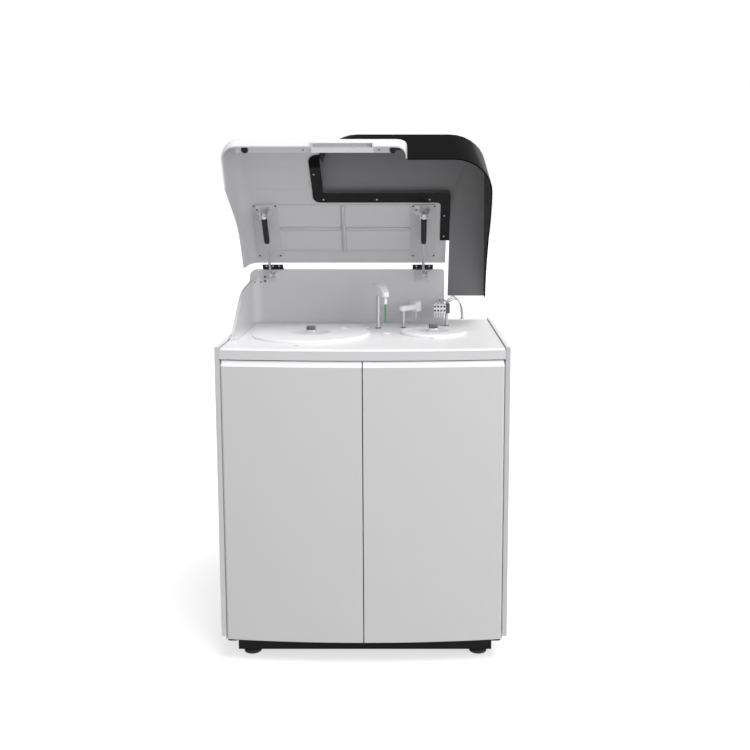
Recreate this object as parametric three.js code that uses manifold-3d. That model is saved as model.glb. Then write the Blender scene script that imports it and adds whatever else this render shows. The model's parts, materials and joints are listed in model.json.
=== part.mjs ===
// A floor-standing clinical chemistry analyser: a two-door cabinet on a plinth, a worktop with covered
// sample and reaction wells, two dosing arms and a wash head, and a wide hinged lid on two gas springs.
// Units are millimetres, +Z is up, +X is to the right and the front faces -Y. Everything is drawn in the
// cabinet's own frame (Y = 0 at the front edge of the side panels) and the lid is drawn closed.
import * as THREE from "three";
import { mergeVertices } from "three/addons/utils/BufferGeometryUtils.js";
import Module from "manifold-3d";

const wasm = await Module();
wasm.setup();

// Driving dimensions
const FIT = 0.3; // gap between pieces that touch
const RUNNING = 0.5; // gap round a shaft that turns or slides
const OVERRUN = 6; // how far a cut runs past its solid
const DEGREE = Math.PI / 180;

const CABINET = { width: 830, depth: 640, panelThick: 13, panelBottom: 81, panelTop: 934, skin: 2, lip: 14 };
const FOOT = { radius: 26, height: 17.2, rim: 9, shoulder: 21, neck: 10, stem: 5, stemTop: 46, sideInset: 38, front: 77, rear: 560 };
const PLINTH = { sideInset: 27, front: 47, rear: 620, bottom: 17.5, top: 70.7, skin: 3, earThick: 4, earRound: 9 };
const DOOR = { bottom: 71, top: 896, bow: 24, middleGap: 3, pivotInset: 12.6, pocketStep: 1, arcShare: 0.7, endRadius: 11, skin: 3, topRound: 14, bottomRound: 3, pinRadius: 4, pinLength: 3.4, hingeBlock: 26, swing: 90 };
const TRAY = { thick: 3, edge: 22, front: 26 };
const REAR = { thick: 12, skin: 2, bottom: 74.5, top: 923.5, louvreWidth: 150, louvreHeight: 7, louvrePitch: 20, louvreCount: 8, louvreX: 205, louvreBottom: 180, inletGap: 117, inletZ: 150, inletWidth: 58, inletHeight: 46, inletHole: 3 };
const BEAM = { bottom: 899, top: 924, rear: 24, skin: 3 };
const DECK = { top: 930, thick: 5.7, sideGap: 2.5, rear: 623, lipRound: 5 };
const SHELF = { z: 640, thick: 3, edge: 24, front: 44, rear: 618 };

const UPSTAND = { wingGap: 4, right: 249, face: 527, rear: 560, top: 1108, skin: 3, wingThick: 8, wingFront: 135, leftRound: 20, cornerFillet: 40, footCove: 16, endRound: 8, edgeSteps: 18 };
// The wing's top edge, as shares of its length back to the face and of its rise to the top of the upstand.
const WING_EDGE_SHARES = [[0, 0], [0.12, 0.15], [0.29, 0.39], [0.42, 0.565], [0.51, 0.655], [0.62, 0.715], [0.85, 0.765], [0.965, 0.79], [0.99, 0.86]];

const SAMPLE = { x: -170, y: 262, coverRadius: 181, holeRadius: 170, tubRadius: 168, tubDepth: 150, rotorRadius: 158, rotorDrop: 26, rotorThick: 46, cupRings: [142, 108], cupCounts: [24, 16], cupRadius: 10 };
const REACTION = { x: 206, y: 295, coverRadius: 103, holeRadius: 94, tubRadius: 92, tubDepth: 110, rotorRadius: 87, rotorDrop: 26, rotorThick: 34, cuvetteRing: 79.5, cuvetteCount: 30, cuvetteWide: 8, cuvetteDeep: 12 };
const COVER = { thick: 8, bevel: 5, recessDepth: 1.6, spigot: 5, spigotWall: 3, portRadius: 9, lift: 40, sampleRecess: 60, reactionRecess: 49 };
const KNOB = { width: 29, depth: 26, height: 19, taper: 3, round: 4 };
const TUB = { wall: 3, rim: 6, rimThick: 3, floorHole: 12 };
const MOTOR = { width: 57, length: 76, flange: 70, flangeThick: 6, corner: 6, shaftRadius: 8, hubRadius: 20 };
const PORT_RING = { x: -52, y: 417, radius: 54, wall: 5, height: 3, holeRadius: 7, holeX: -100, holeY: 451 };
const WASH_CUP = { radius: 11, bore: 8, depth: 44, rim: 15, rimThick: 3, wall: 2 };

const PROBE = { x: 32, y: 398, column: 6.5, reach: 120, rest: -77.5, overSample: -150, overReaction: -36, armBottom: 1038, armTop: 1075, armRear: 22, armHalf: 15, noseHalf: 10, needle: 2.6, needleTip: 952, collar: 5, collarLength: 17, lift: 45 };
const MIXER = { x: 113, y: 407, column: 5, reach: 78, rest: 59, overReaction: -50.3, armBottom: 984, armTop: 1001, blockDrop: 8, blockRise: 8, blockHalf: 14.5, tailHalf: 10, armRear: 16, paddle: 3, paddleTip: 942, bladeWide: 9, bladeThick: 1.6, bladeLong: 14, lift: 28 };
const WASH = { x: 253.5, y: 455, column: 5.5, blockLeft: 211, blockRight: 251, blockHalf: 17, bottom: 973, top: 1002, bracket: 13, nozzle: 1.6, nozzleTip: 958, nozzleRows: 2, nozzleColumns: 4, lift: 30, pitMargin: 6 };
const CARRIAGE = { height: 34, half: 17, top: 850, columnBottom: 800 };
const LIFT_FRAME = { plate: 5, postHalf: 9, postGap: 2 };

const LID = { wall: 4, frontY: 2, rimZ: 931, frontHeight: 56, sideInset: 4, sideSweep: 45, right: 251, rearY: 508, openAngle: 61.9, hingeY: 531, hingeZ: 1112.5, sideDrop: 42, sidePlan: 42, frontEnd: 125, frontEndRound: 32, flangeWide: 19, flangeRise: 4.2, browRound: 14 };
// Breaks of the roof line as heights over the rim, front to back, with the places where they stand.
const ROOF = { steepY: 118, steepRise: 108.5, shallowY: 218, shallowRise: 151.5, ridgeY: 271, ridgeRise: 160.5 };
const HOOD = { left: -140, front: 41, barRear: 234, legLeft: 257, right: 374, rightDraft: 12, rearRight: 388, rear: 629, top: 1098, wall: 4, cornerRound: 115, leftRimRound: 28, innerRound: 12, endRound: 8, barRound: 12, flangeLeft: 30, flangeFront: 28, flangeBar: 34, flangeLeg: 26, flangeEnd: 450, flangeRound: 22, flangeThick: 3, rimFlatY: 130, rimRearRise: 152, rimSteps: 8 };
const HANDLE = { left: -150, right: 29, proud: 12, height: 34, rear: 23, channelFront: -6.5, channelRear: 7, channelDeep: 15, end: 4 };
const BUMPER = { radius: 8, height: 3.2, y: 16, leftInset: 71, rightX: 85 };
const HINGE = { width: 68, leftInset: 90, rightX: 177, knuckle: 4.2, leaf: 2.5, movingReach: 16, fixedDepth: 24, knuckles: 5 };
const SPRING = { leftInset: 86, rightX: 178, upperForward: 235, upperDown: 57, lowerY: 503, lowerZ: 1092, tube: 9, tubeLength: 102, rod: 4, rodInside: 36, eye: 7.5, eyeHalf: 5 };
const PLATE = { halfWidth: 40, near: 46, far: 256, thick: 2.5, ear: 3, earOffset: 13, earHalf: 11, stud: 3.5 };
const BRACKET = { halfWidth: 24, thick: 3, height: 34, topDrop: 6, ear: 3, earHalf: 9 };

const TANK = { width: 170, depth: 240, height: 270, round: 22, shoulder: 40, neck: 26, neckHeight: 22, cap: 31, capHeight: 24, sideGap: 47, pitch: 200, y: 330 };
const POWER = { width: 190, depth: 300, height: 210, sideGap: 37, y: 440, skin: 2, slot: 5, slotPitch: 14, slotCount: 9, foot: 6 };
const PUMP = { width: 150, depth: 90, height: 122, sideGap: 67, y: 120, barrel: 11, barrelLength: 78, barrelDrop: 20, head: 26 };
const LAMP = { width: 84, depth: 70, height: 66, fin: 3, finPitch: 9, finCount: 7, finHeight: 12 };
const INLET = { wall: 3, depth: 22, proud: 2, switchWidth: 12, switchHeight: 20, switchProud: 3, switchAngle: 8, switchOffset: 17 };
const HOSE = { radius: 2, bundle: 5, pitch: 10, sides: 6, count: 3, steps: 20, bundleSteps: 6, bundleDrop: 30 };

// Values worked out from the driving dimensions
const innerHalf = CABINET.width / 2 - CABINET.panelThick; // inside face of a side panel
const plinthHalf = innerHalf - PLINTH.sideInset;
const footX = plinthHalf - FOOT.sideInset;
const inletX = innerHalf - REAR.inletGap;
const lidLeft = LID.sideInset - CABINET.width / 2;
const lidCeilingLeft = lidLeft + LID.sideSweep;
const bowRadius = (innerHalf ** 2 + DOOR.bow ** 2) / (2 * DOOR.bow);
const frontY = (x) => bowRadius - DOOR.bow - Math.sqrt(bowRadius ** 2 - x ** 2);
const pivotX = innerHalf - DOOR.pivotInset;
const pivotY = frontY(pivotX) + DOOR.endRadius;
const doorRear = pivotY + DOOR.endRadius;
const deckBottom = DECK.top - DECK.thick;
const around = (centre, reach, angle) => [centre.x + reach * Math.cos(angle * DEGREE), centre.y + reach * Math.sin(angle * DEGREE)];
const needleRest = around(PROBE, PROBE.reach, PROBE.rest);
const paddleRest = around(MIXER, MIXER.reach, MIXER.rest);
const wingPoints = WING_EDGE_SHARES.map(([along, rise]) => new THREE.Vector2(
  UPSTAND.wingFront + along * (UPSTAND.face - UPSTAND.wingFront),
  DECK.top + rise * (UPSTAND.top - DECK.top),
));
const wingEdge = new THREE.SplineCurve(wingPoints).getPoints(UPSTAND.edgeSteps).map(({ x, y }) => [x, y]);
const slope = Math.atan2(LID.hingeZ - LID.rimZ - ROOF.ridgeRise + LID.wall, LID.hingeY - ROOF.ridgeY);

// Shape tools
const ALONG_X = new THREE.Matrix4().set(0, 0, 1, 0, 1, 0, 0, 0, 0, 1, 0, 0, 0, 0, 0, 1);
const ALONG_Y = new THREE.Matrix4().set(1, 0, 0, 0, 0, 0, -1, 0, 0, 1, 0, 0, 0, 0, 0, 1);

function toSolid(geometry) {
  const bare = geometry.clone();
  bare.deleteAttribute("normal");
  bare.deleteAttribute("uv");
  const merged = mergeVertices(bare, 1e-4);
  const vertProperties = merged.attributes.position.array;
  const triVerts = new Uint32Array(merged.index.array);
  const made = new wasm.Manifold(new wasm.Mesh({ numProp: 3, vertProperties, triVerts }));
  if (made.volume() >= 0) return made;
  for (let i = 0; i < triVerts.length; i += 3) [triVerts[i + 1], triVerts[i + 2]] = [triVerts[i + 2], triVerts[i + 1]];
  return new wasm.Manifold(new wasm.Mesh({ numProp: 3, vertProperties, triVerts }));
}

function toGeometry(made) {
  const mesh = made.getMesh();
  const points = new Float32Array(mesh.numVert * 3);
  for (let i = 0; i < mesh.numVert; i++) points.set(mesh.vertProperties.subarray(i * mesh.numProp, i * mesh.numProp + 3), i * 3);
  return new THREE.BufferGeometry()
    .setAttribute("position", new THREE.BufferAttribute(points, 3))
    .setIndex(new THREE.BufferAttribute(mesh.triVerts, 1));
}

const cut = (first, ...tools) => toGeometry(tools.reduce((made, tool) => made.subtract(toSolid(tool)), toSolid(first)));
const join = (first, ...others) => toGeometry(others.reduce((made, other) => made.add(toSolid(other)), toSolid(first)));
const common = (first, ...others) => toGeometry(others.reduce((made, other) => made.intersect(toSolid(other)), toSolid(first)));

// A box between two corners.
function block(x0, x1, y0, y1, z0, z1) {
  return new THREE.BoxGeometry(x1 - x0, y1 - y0, z1 - z0).translate((x0 + x1) / 2, (y0 + y1) / 2, (z0 + z1) / 2);
}

// An upright round bar about (x, y).
function bar(x, y, radius, z0, z1, sides = 16) {
  return new THREE.CylinderGeometry(radius, radius, z1 - z0, sides)
    .rotateX(Math.PI / 2)
    .translate(x, y, (z0 + z1) / 2);
}

// A round bar along X about (y, z).
function barAlongX(y, z, radius, x0, x1, sides = 16) {
  return new THREE.CylinderGeometry(radius, radius, x1 - x0, sides)
    .rotateZ(Math.PI / 2)
    .translate((x0 + x1) / 2, y, z);
}

// An outline swept straight: XY outlines along Z, YZ outlines along X, XZ outlines along Y.
function sweep(outline, from, to) {
  const shape = new THREE.Shape(outline.map(([u, v]) => new THREE.Vector2(u, v)));
  return new THREE.ExtrudeGeometry(shape, { depth: to - from, bevelEnabled: false }).translate(0, 0, from);
}
const sweepZ = sweep;
const sweepX = (outline, from, to) => sweep(outline, from, to).applyMatrix4(ALONG_X);
const sweepY = (outline, from, to) => sweep(outline, -to, -from).applyMatrix4(ALONG_Y);

// A skin through outlines of equal point counts, closed by flat ends.
function loft(sections, frame) {
  const count = sections[0].outline.length;
  const asVectors = (outline) => outline.map(([u, v]) => new THREE.Vector2(u, v));
  const loops = sections.map(({ outline }) => (THREE.ShapeUtils.isClockWise(asVectors(outline)) ? [...outline].reverse() : outline));
  const points = sections.flatMap(({ at }, s) => loops[s].flatMap(([u, v]) => [u, v, at]));
  const faces = [];
  for (let s = 0; s + 1 < sections.length; s++)
    for (let i = 0; i < count; i++) {
      const a = s * count + i;
      const b = s * count + ((i + 1) % count);
      faces.push(a, b, b + count, a, b + count, a + count);
    }
  for (const [s, turned] of [[0, true], [sections.length - 1, false]]) {
    for (const [a, b, c] of THREE.ShapeUtils.triangulateShape(asVectors(loops[s]), []))
      faces.push(...(turned ? [a, c, b] : [a, b, c]).map((i) => i + s * count));
  }
  const made = new THREE.BufferGeometry()
    .setAttribute("position", new THREE.Float32BufferAttribute(points, 3))
    .setIndex(faces);
  return frame ? made.applyMatrix4(frame) : made;
}

// A profile of [radius, height] turned about an upright axis at (x, y).
function turned(profile, x, y, sides = 36) {
  const points = profile.map(([radius, height]) => new THREE.Vector2(radius, height));
  return new THREE.LatheGeometry(points, sides).rotateX(Math.PI / 2).translate(x, y, 0);
}

// Corners [x, y, radius] of a polygon with an arc put in at each radius.
function rounded(corners, steps = 6) {
  return corners.flatMap(([x, y, radius], i) => {
    if (!radius) return [[x, y]];
    const here = new THREE.Vector2(x, y);
    const before = corners[(i + corners.length - 1) % corners.length];
    const after = corners[(i + 1) % corners.length];
    const back = new THREE.Vector2(before[0], before[1]).sub(here).normalize();
    const ahead = new THREE.Vector2(after[0], after[1]).sub(here).normalize();
    const half = Math.acos(THREE.MathUtils.clamp(back.dot(ahead), -1, 1)) / 2;
    const centre = here.clone().addScaledVector(back.clone().add(ahead).normalize(), radius / Math.sin(half));
    const start = here.clone().addScaledVector(back, radius / Math.tan(half)).sub(centre);
    const end = here.clone().addScaledVector(ahead, radius / Math.tan(half)).sub(centre);
    const turn = Math.atan2(start.cross(end), start.dot(end));
    return Array.from({ length: steps + 1 }, (_, k) => {
      const at = start.clone().rotateAround(new THREE.Vector2(), (turn * k) / steps).add(centre);
      return [at.x, at.y];
    });
  });
}

// The outline with each edge i moved inwards by insets[i] (outline counter-clockwise, edge i from point i).
function inset(outline, insets) {
  const edges = outline.map(([x, y], i) => {
    const [nx, ny] = outline[(i + 1) % outline.length];
    const length = Math.hypot(nx - x, ny - y);
    const [dx, dy] = [(nx - x) / length, (ny - y) / length];
    return { x: x - dy * insets[i], y: y + dx * insets[i], dx, dy };
  });
  return edges.map((edge, i) => {
    const last = edges[(i + edges.length - 1) % edges.length];
    const cross = last.dx * edge.dy - last.dy * edge.dx;
    const along = ((edge.x - last.x) * edge.dy - (edge.y - last.y) * edge.dx) / cross;
    return [last.x + last.dx * along, last.y + last.dy * along];
  });
}

const box = (x0, x1, y0, y1, round, steps) => rounded([[x0, y0, round], [x1, y0, round], [x1, y1, round], [x0, y1, round]], steps);

// A round tube along a smooth curve through points.
function hose(points, radius, sides, steps) {
  const path = new THREE.CatmullRomCurve3(points.map(([x, y, z]) => new THREE.Vector3(x, y, z)), false, "centripetal");
  const ring = Array.from({ length: sides }, (_, k) => {
    const angle = (2 * Math.PI * k) / sides;
    return new THREE.Vector2(radius * Math.cos(angle), radius * Math.sin(angle));
  });
  return new THREE.ExtrudeGeometry(new THREE.Shape(ring), { steps, extrudePath: path, bevelEnabled: false });
}

// Finishes
const finish = (color, roughness, metalness) => () => new THREE.MeshStandardMaterial({ color, roughness, metalness });
const WHITE_PAINT = finish(0xd2d2d3, 0.45, 0);
const WHITE_MOULDING = finish(0xf2f2f2, 0.4, 0);
const GREY_MOULDING = finish(0xc4c4c6, 0.5, 0);
const BLACK_GLOSS = finish(0x1a1a1b, 0.15, 0);
const BLACK_STEEL = finish(0x232323, 0.5, 0.3);
const BLACK_RUBBER = finish(0x1b1b1b, 0.9, 0);
const BRIGHT_STEEL = finish(0xb4b6b8, 0.3, 1);
const GALVANISED = finish(0x9fa3a6, 0.5, 0.9);
const ALUMINIUM = finish(0xb9bcc0, 0.4, 1);
const KNOB_METAL = finish(0x8d8f91, 0.3, 1);
const GREEN_PLASTIC = finish(0x2f7d46, 0.4, 0);
const BLACK_PLASTIC = finish(0x1e1e1f, 0.45, 0);
const TANK_PLASTIC = finish(0xe4e8ea, 0.5, 0);
const HOSE_PLASTIC = finish(0xb9babb, 0.4, 0);

const analyser = new THREE.Group();
const cabinet = new THREE.Group();
cabinet.position.y = (DOOR.bow - CABINET.depth) / 2;
analyser.add(cabinet);

const lid = new THREE.Group();
lid.position.set(0, LID.hingeY, LID.hingeZ);
lid.rotation.x = -LID.openAngle * DEGREE;
cabinet.add(lid);
const lidBody = new THREE.Group(); // holds the lid drawn closed, in the cabinet's frame
lidBody.position.set(0, -LID.hingeY, -LID.hingeZ);
lid.add(lidBody);
const ceiling = new THREE.Group(); // the flat rear ceiling: -Y runs forward along it, -Z points into the lid
ceiling.rotation.x = slope;
lid.add(ceiling);

function piece(parent, name, geometry, material) {
  const mesh = new THREE.Mesh(geometry, material());
  mesh.name = name;
  parent.add(mesh);
  return mesh;
}

// Cabinet
function sidePanel(side) {
  const outer = side * (CABINET.width / 2);
  const inner = side * innerHalf;
  const skinned = outer - side * CABINET.skin;
  const [x0, x1] = [Math.min(outer, inner), Math.max(outer, inner)];
  const [p0, p1] = [Math.min(skinned, inner - side * OVERRUN), Math.max(skinned, inner - side * OVERRUN)];
  const outline = [[0, CABINET.panelBottom], [CABINET.depth, CABINET.panelBottom], [CABINET.depth, CABINET.panelTop], [0, CABINET.panelTop]];
  return cut(
    sweepX(outline, x0, x1),
    block(p0, p1, CABINET.lip, CABINET.depth - CABINET.lip, CABINET.panelBottom + CABINET.lip, CABINET.panelTop - CABINET.lip - DECK.thick),
  );
}

function plinth() {
  const { front, rear, bottom, top, skin, earThick, earRound } = PLINTH;
  const halfWidth = plinthHalf;
  const frame = cut(
    block(-halfWidth, halfWidth, front, rear, bottom, top),
    block(-halfWidth + skin, halfWidth - skin, front + skin, rear - skin, bottom + skin, top + OVERRUN),
    ...[-1, 1].flatMap((side) => [FOOT.front, FOOT.rear].map((y) => bar(side * footX, y, FOOT.stem + RUNNING, bottom - OVERRUN, bottom + skin + OVERRUN, 16))),
  );
  const ears = [-1, 1].map((side) => {
    const far = side * pivotX;
    const near = side * (halfWidth - skin);
    const plate = sweepZ([[near, pivotY - earRound], [far, pivotY - earRound], [far, pivotY + earRound], [near, front + skin], [near - side * earRound, front + skin], [near - side * earRound, pivotY]], top - earThick, top);
    const tip = bar(far, pivotY, earRound, top - earThick, top, 20);
    return cut(join(plate, tip), bar(far, pivotY, DOOR.pinRadius + RUNNING, top - earThick - OVERRUN, top + OVERRUN, 16));
  });
  return join(frame, ...ears);
}

function foot(side, y) {
  const { radius, height, rim, shoulder, neck, stem, stemTop } = FOOT;
  return turned([[0, 0], [radius, 0], [radius, rim / 2], [shoulder, rim], [neck, rim], [neck, height], [stem, height], [stem, stemTop], [0, stemTop]], side * footX, y, 18);
}

function floorTray() {
  const edge = innerHalf - FIT;
  const rear = CABINET.depth - REAR.thick - FIT;
  return cut(
    block(-edge, edge, TRAY.front, rear, DOOR.bottom, DOOR.bottom + TRAY.edge),
    block(-edge + TRAY.thick, edge - TRAY.thick, TRAY.front + TRAY.thick, rear - TRAY.thick, DOOR.bottom + TRAY.thick, DOOR.bottom + TRAY.edge + OVERRUN),
    ...[-1, 1].flatMap((side) => [FOOT.front, FOOT.rear].map((y) => bar(side * footX, y, FOOT.stem + RUNNING, DOOR.bottom - OVERRUN, DOOR.bottom + TRAY.thick + OVERRUN, 16))),
  );
}

function rearPanel() {
  const { thick, skin, bottom, top, louvreWidth, louvreHeight, louvrePitch, louvreCount, louvreX, louvreBottom } = REAR;
  const edge = innerHalf - FIT;
  const front = CABINET.depth - thick;
  const slots = [-1, 1].flatMap((side) =>
    Array.from({ length: louvreCount }, (_, i) => {
      const low = louvreBottom + (side > 0 ? louvrePitch * louvreCount : 0) + i * louvrePitch;
      return block(side * louvreX - louvreWidth / 2, side * louvreX + louvreWidth / 2, front - OVERRUN, CABINET.depth + OVERRUN, low, low + louvreHeight);
    }),
  );
  return cut(
    block(-edge, edge, front, CABINET.depth, bottom, top),
    block(-edge + thick, edge - thick, front - OVERRUN, CABINET.depth - skin, bottom + thick, top - thick),
    block(inletX - REAR.inletWidth / 2, inletX + REAR.inletWidth / 2, front - OVERRUN, CABINET.depth + OVERRUN, REAR.inletZ - REAR.inletHeight / 2, REAR.inletZ + REAR.inletHeight / 2),
    ...slots,
  );
}

// The bowed strip under the worktop, which carries the doors' upper pins.
function bowLine(halfWidth, inward, count) {
  return Array.from({ length: count + 1 }, (_, i) => {
    const x = halfWidth * ((2 * i) / count - 1);
    return [x, frontY(x) + inward];
  });
}

function frontBeam() {
  const half = innerHalf - FIT;
  const { bottom, top, rear, skin } = BEAM;
  const outer = [...bowLine(half, 0, 16), [half, rear], [-half, rear]];
  const hollow = [...bowLine(half - skin, skin, 16), [half - skin, rear + OVERRUN], [-half + skin, rear + OVERRUN]];
  return cut(
    sweepZ(outer, bottom, top),
    sweepZ(hollow, bottom + skin, top - skin),
    ...[-1, 1].map((side) => bar(side * pivotX, pivotY, DOOR.pinRadius + RUNNING, bottom - OVERRUN, bottom + skin + OVERRUN, 16)),
  );
}

function door(side) {
  const { bottom, top, middleGap, endRadius, skin, topRound, bottomRound, pinRadius, pinLength, hingeBlock, pocketStep, arcShare } = DOOR;
  const start = middleGap / 2;
  const bowSteps = 10;
  const endSteps = 8;
  const section = (back) => {
    const line = Array.from({ length: bowSteps + 1 }, (_, i) => {
      const x = start + ((pivotX - start) * i) / bowSteps;
      return [side * x, frontY(x) + back];
    });
    const end = Array.from({ length: endSteps }, (_, i) => {
      const angle = -Math.PI / 2 + (Math.PI * (i + 1)) / endSteps;
      const shrunk = endRadius - (back * (1 - Math.sin(angle))) / 2;
      return [side * (pivotX + shrunk * Math.cos(angle)), pivotY + endRadius * Math.sin(angle) * (angle < 0 ? shrunk / endRadius : 1)];
    });
    return [...line, ...end, [side * start, doorRear]];
  };
  const arc = [0, 1, 2, 3, 4].map((k) => (k * Math.PI) / 8);
  const outer = loft([
    { at: bottom, outline: section(bottomRound) },
    { at: bottom + bottomRound, outline: section(0) },
    ...arc.map((angle) => ({ at: top - topRound + topRound * Math.sin(angle), outline: section(topRound * (1 - Math.cos(angle)) * arcShare) })),
  ]);
  const inner = Array.from({ length: bowSteps + 1 }, (_, i) => {
    const x = start + skin + ((pivotX - hingeBlock - start - skin) * i) / bowSteps;
    return [side * x, frontY(x) + skin + pocketStep];
  });
  const pocket = sweepZ([...inner, [side * (pivotX - hingeBlock), doorRear + OVERRUN], [side * (start + skin), doorRear + OVERRUN]], bottom + topRound, top - topRound);
  return join(
    cut(outer, pocket),
    bar(side * pivotX, pivotY, pinRadius, bottom - pinLength, bottom + pinLength, 16),
    bar(side * pivotX, pivotY, pinRadius, top - pinLength, BEAM.bottom + pinLength, 16),
  );
}

// Worktop with its wells
function worktop() {
  const { top, rear, lipRound } = DECK;
  const halfWidth = innerHalf - DECK.sideGap;
  const steps = 16;
  const outline = (back) => [...bowLine(halfWidth, back, steps), [halfWidth, rear], [-halfWidth, rear]];
  const slab = loft([
    { at: deckBottom, outline: outline(0) },
    ...[0, 1, 2].map((k) => {
      const angle = (k * Math.PI) / 4;
      return { at: top - lipRound + lipRound * Math.sin(angle), outline: outline(lipRound * (1 - Math.cos(angle))) };
    }),
  ]);
  const through = (x, y, radius, sides) => bar(x, y, radius, deckBottom - OVERRUN, top + OVERRUN, sides);
  const side = innerHalf - FIT;
  return cut(
    slab,
    through(SAMPLE.x, SAMPLE.y, SAMPLE.holeRadius, 44),
    through(REACTION.x, REACTION.y, REACTION.holeRadius, 36),
    through(PROBE.x, PROBE.y, PROBE.column + RUNNING, 14),
    through(MIXER.x, MIXER.y, MIXER.column + RUNNING, 14),
    through(WASH.x, WASH.y, WASH.column + RUNNING, 14),
    through(needleRest[0], needleRest[1], WASH_CUP.radius + FIT, 14),
    through(paddleRest[0], paddleRest[1], MIXER.bladeWide, 14),
    through(PORT_RING.holeX, PORT_RING.holeY, PORT_RING.holeRadius, 16),
    through(hosePoints.end[0], hosePoints.end[1], HOSE.bundle + RUNNING, 16),
    block(WASH.blockLeft - WASH.pitMargin, WASH.x - WASH.column - WASH.pitMargin, WASH.y - WASH.blockHalf, WASH.y + WASH.blockHalf, deckBottom - OVERRUN, top + OVERRUN),
  );
}

// Hose routes, from the top of the wash head to the back edge of the worktop
const hosePoints = {
  start: Array.from({ length: HOSE.count }, (_, i) => [WASH.blockLeft + HOSE.pitch * (i + 1), WASH.y, WASH.top + FIT]),
  end: [314, 611],
  path: (i) => [
    hosePoints.start[i],
    [hosePoints.start[i][0], WASH.y, WASH.top + 6],
    [hosePoints.start[i][0] + 5, WASH.y + 12, WASH.top + 12],
    [250 + i, 498 + 3 * i, WASH.top + 8 - 3 * i],
    [256 + 2 * i, 535 + 2 * i, WASH.top - 2 - 3 * i],
    [266 + 3 * i, 572, WASH.top + 4 - 4 * i],
    [282 + 4 * i, 596 - i, WASH.top + 10 - 5 * i],
    [300 + 3 * i, 606 - i, WASH.top - 4 - 5 * i],
    [308 + 3 * i, 610, WASH.top - 26 - 4 * i],
    [311 + 2 * i, 611, WASH.top - 44],
  ],
};

function washHoses() {
  const [x, y] = hosePoints.end;
  const sleeve = hose([[x - 1, y, WASH.top - 36], [x, y, WASH.top - 56], [x, y, deckBottom - HOSE.bundleDrop]], HOSE.bundle, HOSE.sides, HOSE.bundleSteps);
  return join(sleeve, ...Array.from({ length: HOSE.count }, (_, i) => hose(hosePoints.path(i), HOSE.radius, HOSE.sides, HOSE.steps)));
}

function tub(well, drop) {
  const { wall, rim, rimThick, floorHole } = TUB;
  const top = deckBottom - FIT;
  return turned(
    [
      [floorHole, top - drop], [well.tubRadius, top - drop], [well.tubRadius, top - rimThick], [well.tubRadius + rim, top - rimThick],
      [well.tubRadius + rim, top], [well.tubRadius - wall, top], [well.tubRadius - wall, top - drop + wall], [floorHole, top - drop + wall], [floorHole, top - drop],
    ],
    well.x, well.y, 36,
  );
}

function sampleRotor() {
  const { x, y, rotorRadius, rotorDrop, rotorThick, cupRings, cupCounts, cupRadius, tubDepth } = SAMPLE;
  const top = DECK.top - rotorDrop;
  const floor = deckBottom - tubDepth + TUB.wall + RUNNING;
  const disc = turned(
    [[0, floor], [MOTOR.hubRadius, floor], [MOTOR.hubRadius, top - rotorThick], [rotorRadius, top - rotorThick], [rotorRadius, top], [MOTOR.hubRadius, top], [MOTOR.hubRadius, top + KNOB.taper], [0, top + KNOB.taper]],
    x, y, 40,
  );
  const pockets = cupRings.flatMap((ring, r) =>
    Array.from({ length: cupCounts[r] }, (_, i) => {
      const [cx, cy] = around({ x, y }, ring, (360 * i) / cupCounts[r]);
      return bar(cx, cy, cupRadius, top - rotorThick + TUB.wall, top + OVERRUN, 6);
    }),
  );
  return cut(disc, ...pockets);
}

function reactionRotor() {
  const { x, y, rotorRadius, rotorDrop, rotorThick, cuvetteRing, cuvetteCount, cuvetteWide, cuvetteDeep, tubDepth } = REACTION;
  const top = DECK.top - rotorDrop;
  const floor = deckBottom - tubDepth + TUB.wall + RUNNING;
  const disc = turned(
    [[0, floor], [MOTOR.hubRadius, floor], [MOTOR.hubRadius, top - rotorThick], [rotorRadius, top - rotorThick], [rotorRadius, top], [0, top]],
    x, y, 40,
  );
  const pockets = Array.from({ length: cuvetteCount }, (_, i) => {
    const slot = block(cuvetteRing - cuvetteDeep / 2, cuvetteRing + cuvetteDeep / 2, -cuvetteWide / 2, cuvetteWide / 2, top - rotorThick + TUB.wall, top + OVERRUN);
    return slot.rotateZ((2 * Math.PI * i) / cuvetteCount).translate(x, y, 0);
  });
  return cut(disc, ...pockets);
}

function cover(well, recess, ports) {
  const { thick, bevel, recessDepth, spigot, spigotWall, portRadius } = COVER;
  const low = DECK.top + FIT;
  const top = low + thick;
  const spigotRadius = well.holeRadius - 2 * RUNNING;
  const disc = turned(
    [
      [0, low], [spigotRadius - spigotWall, low], [spigotRadius - spigotWall, low - spigot], [spigotRadius, low - spigot], [spigotRadius, low],
      [well.coverRadius, low], [well.coverRadius, top - bevel], [well.coverRadius - bevel, top], [recess, top], [recess - recessDepth, top - recessDepth], [0, top - recessDepth],
    ],
    well.x, well.y, 44,
  );
  return cut(disc, ...ports.map(([x, y]) => bar(x, y, portRadius, low - spigot - OVERRUN, top + OVERRUN, 12)));
}

function knob(well) {
  const { width, depth, height, taper, round } = KNOB;
  const low = DECK.top + FIT + COVER.thick - COVER.recessDepth + FIT;
  const outline = (shrink) => box(well.x - width / 2 + shrink, well.x + width / 2 - shrink, well.y - depth / 2 + shrink, well.y + depth / 2 - shrink, round, 3);
  return loft([
    { at: low, outline: outline(0) },
    { at: low + height - taper, outline: outline(taper / 2) },
    { at: low + height, outline: outline(taper * 1.5) },
  ]);
}

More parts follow.
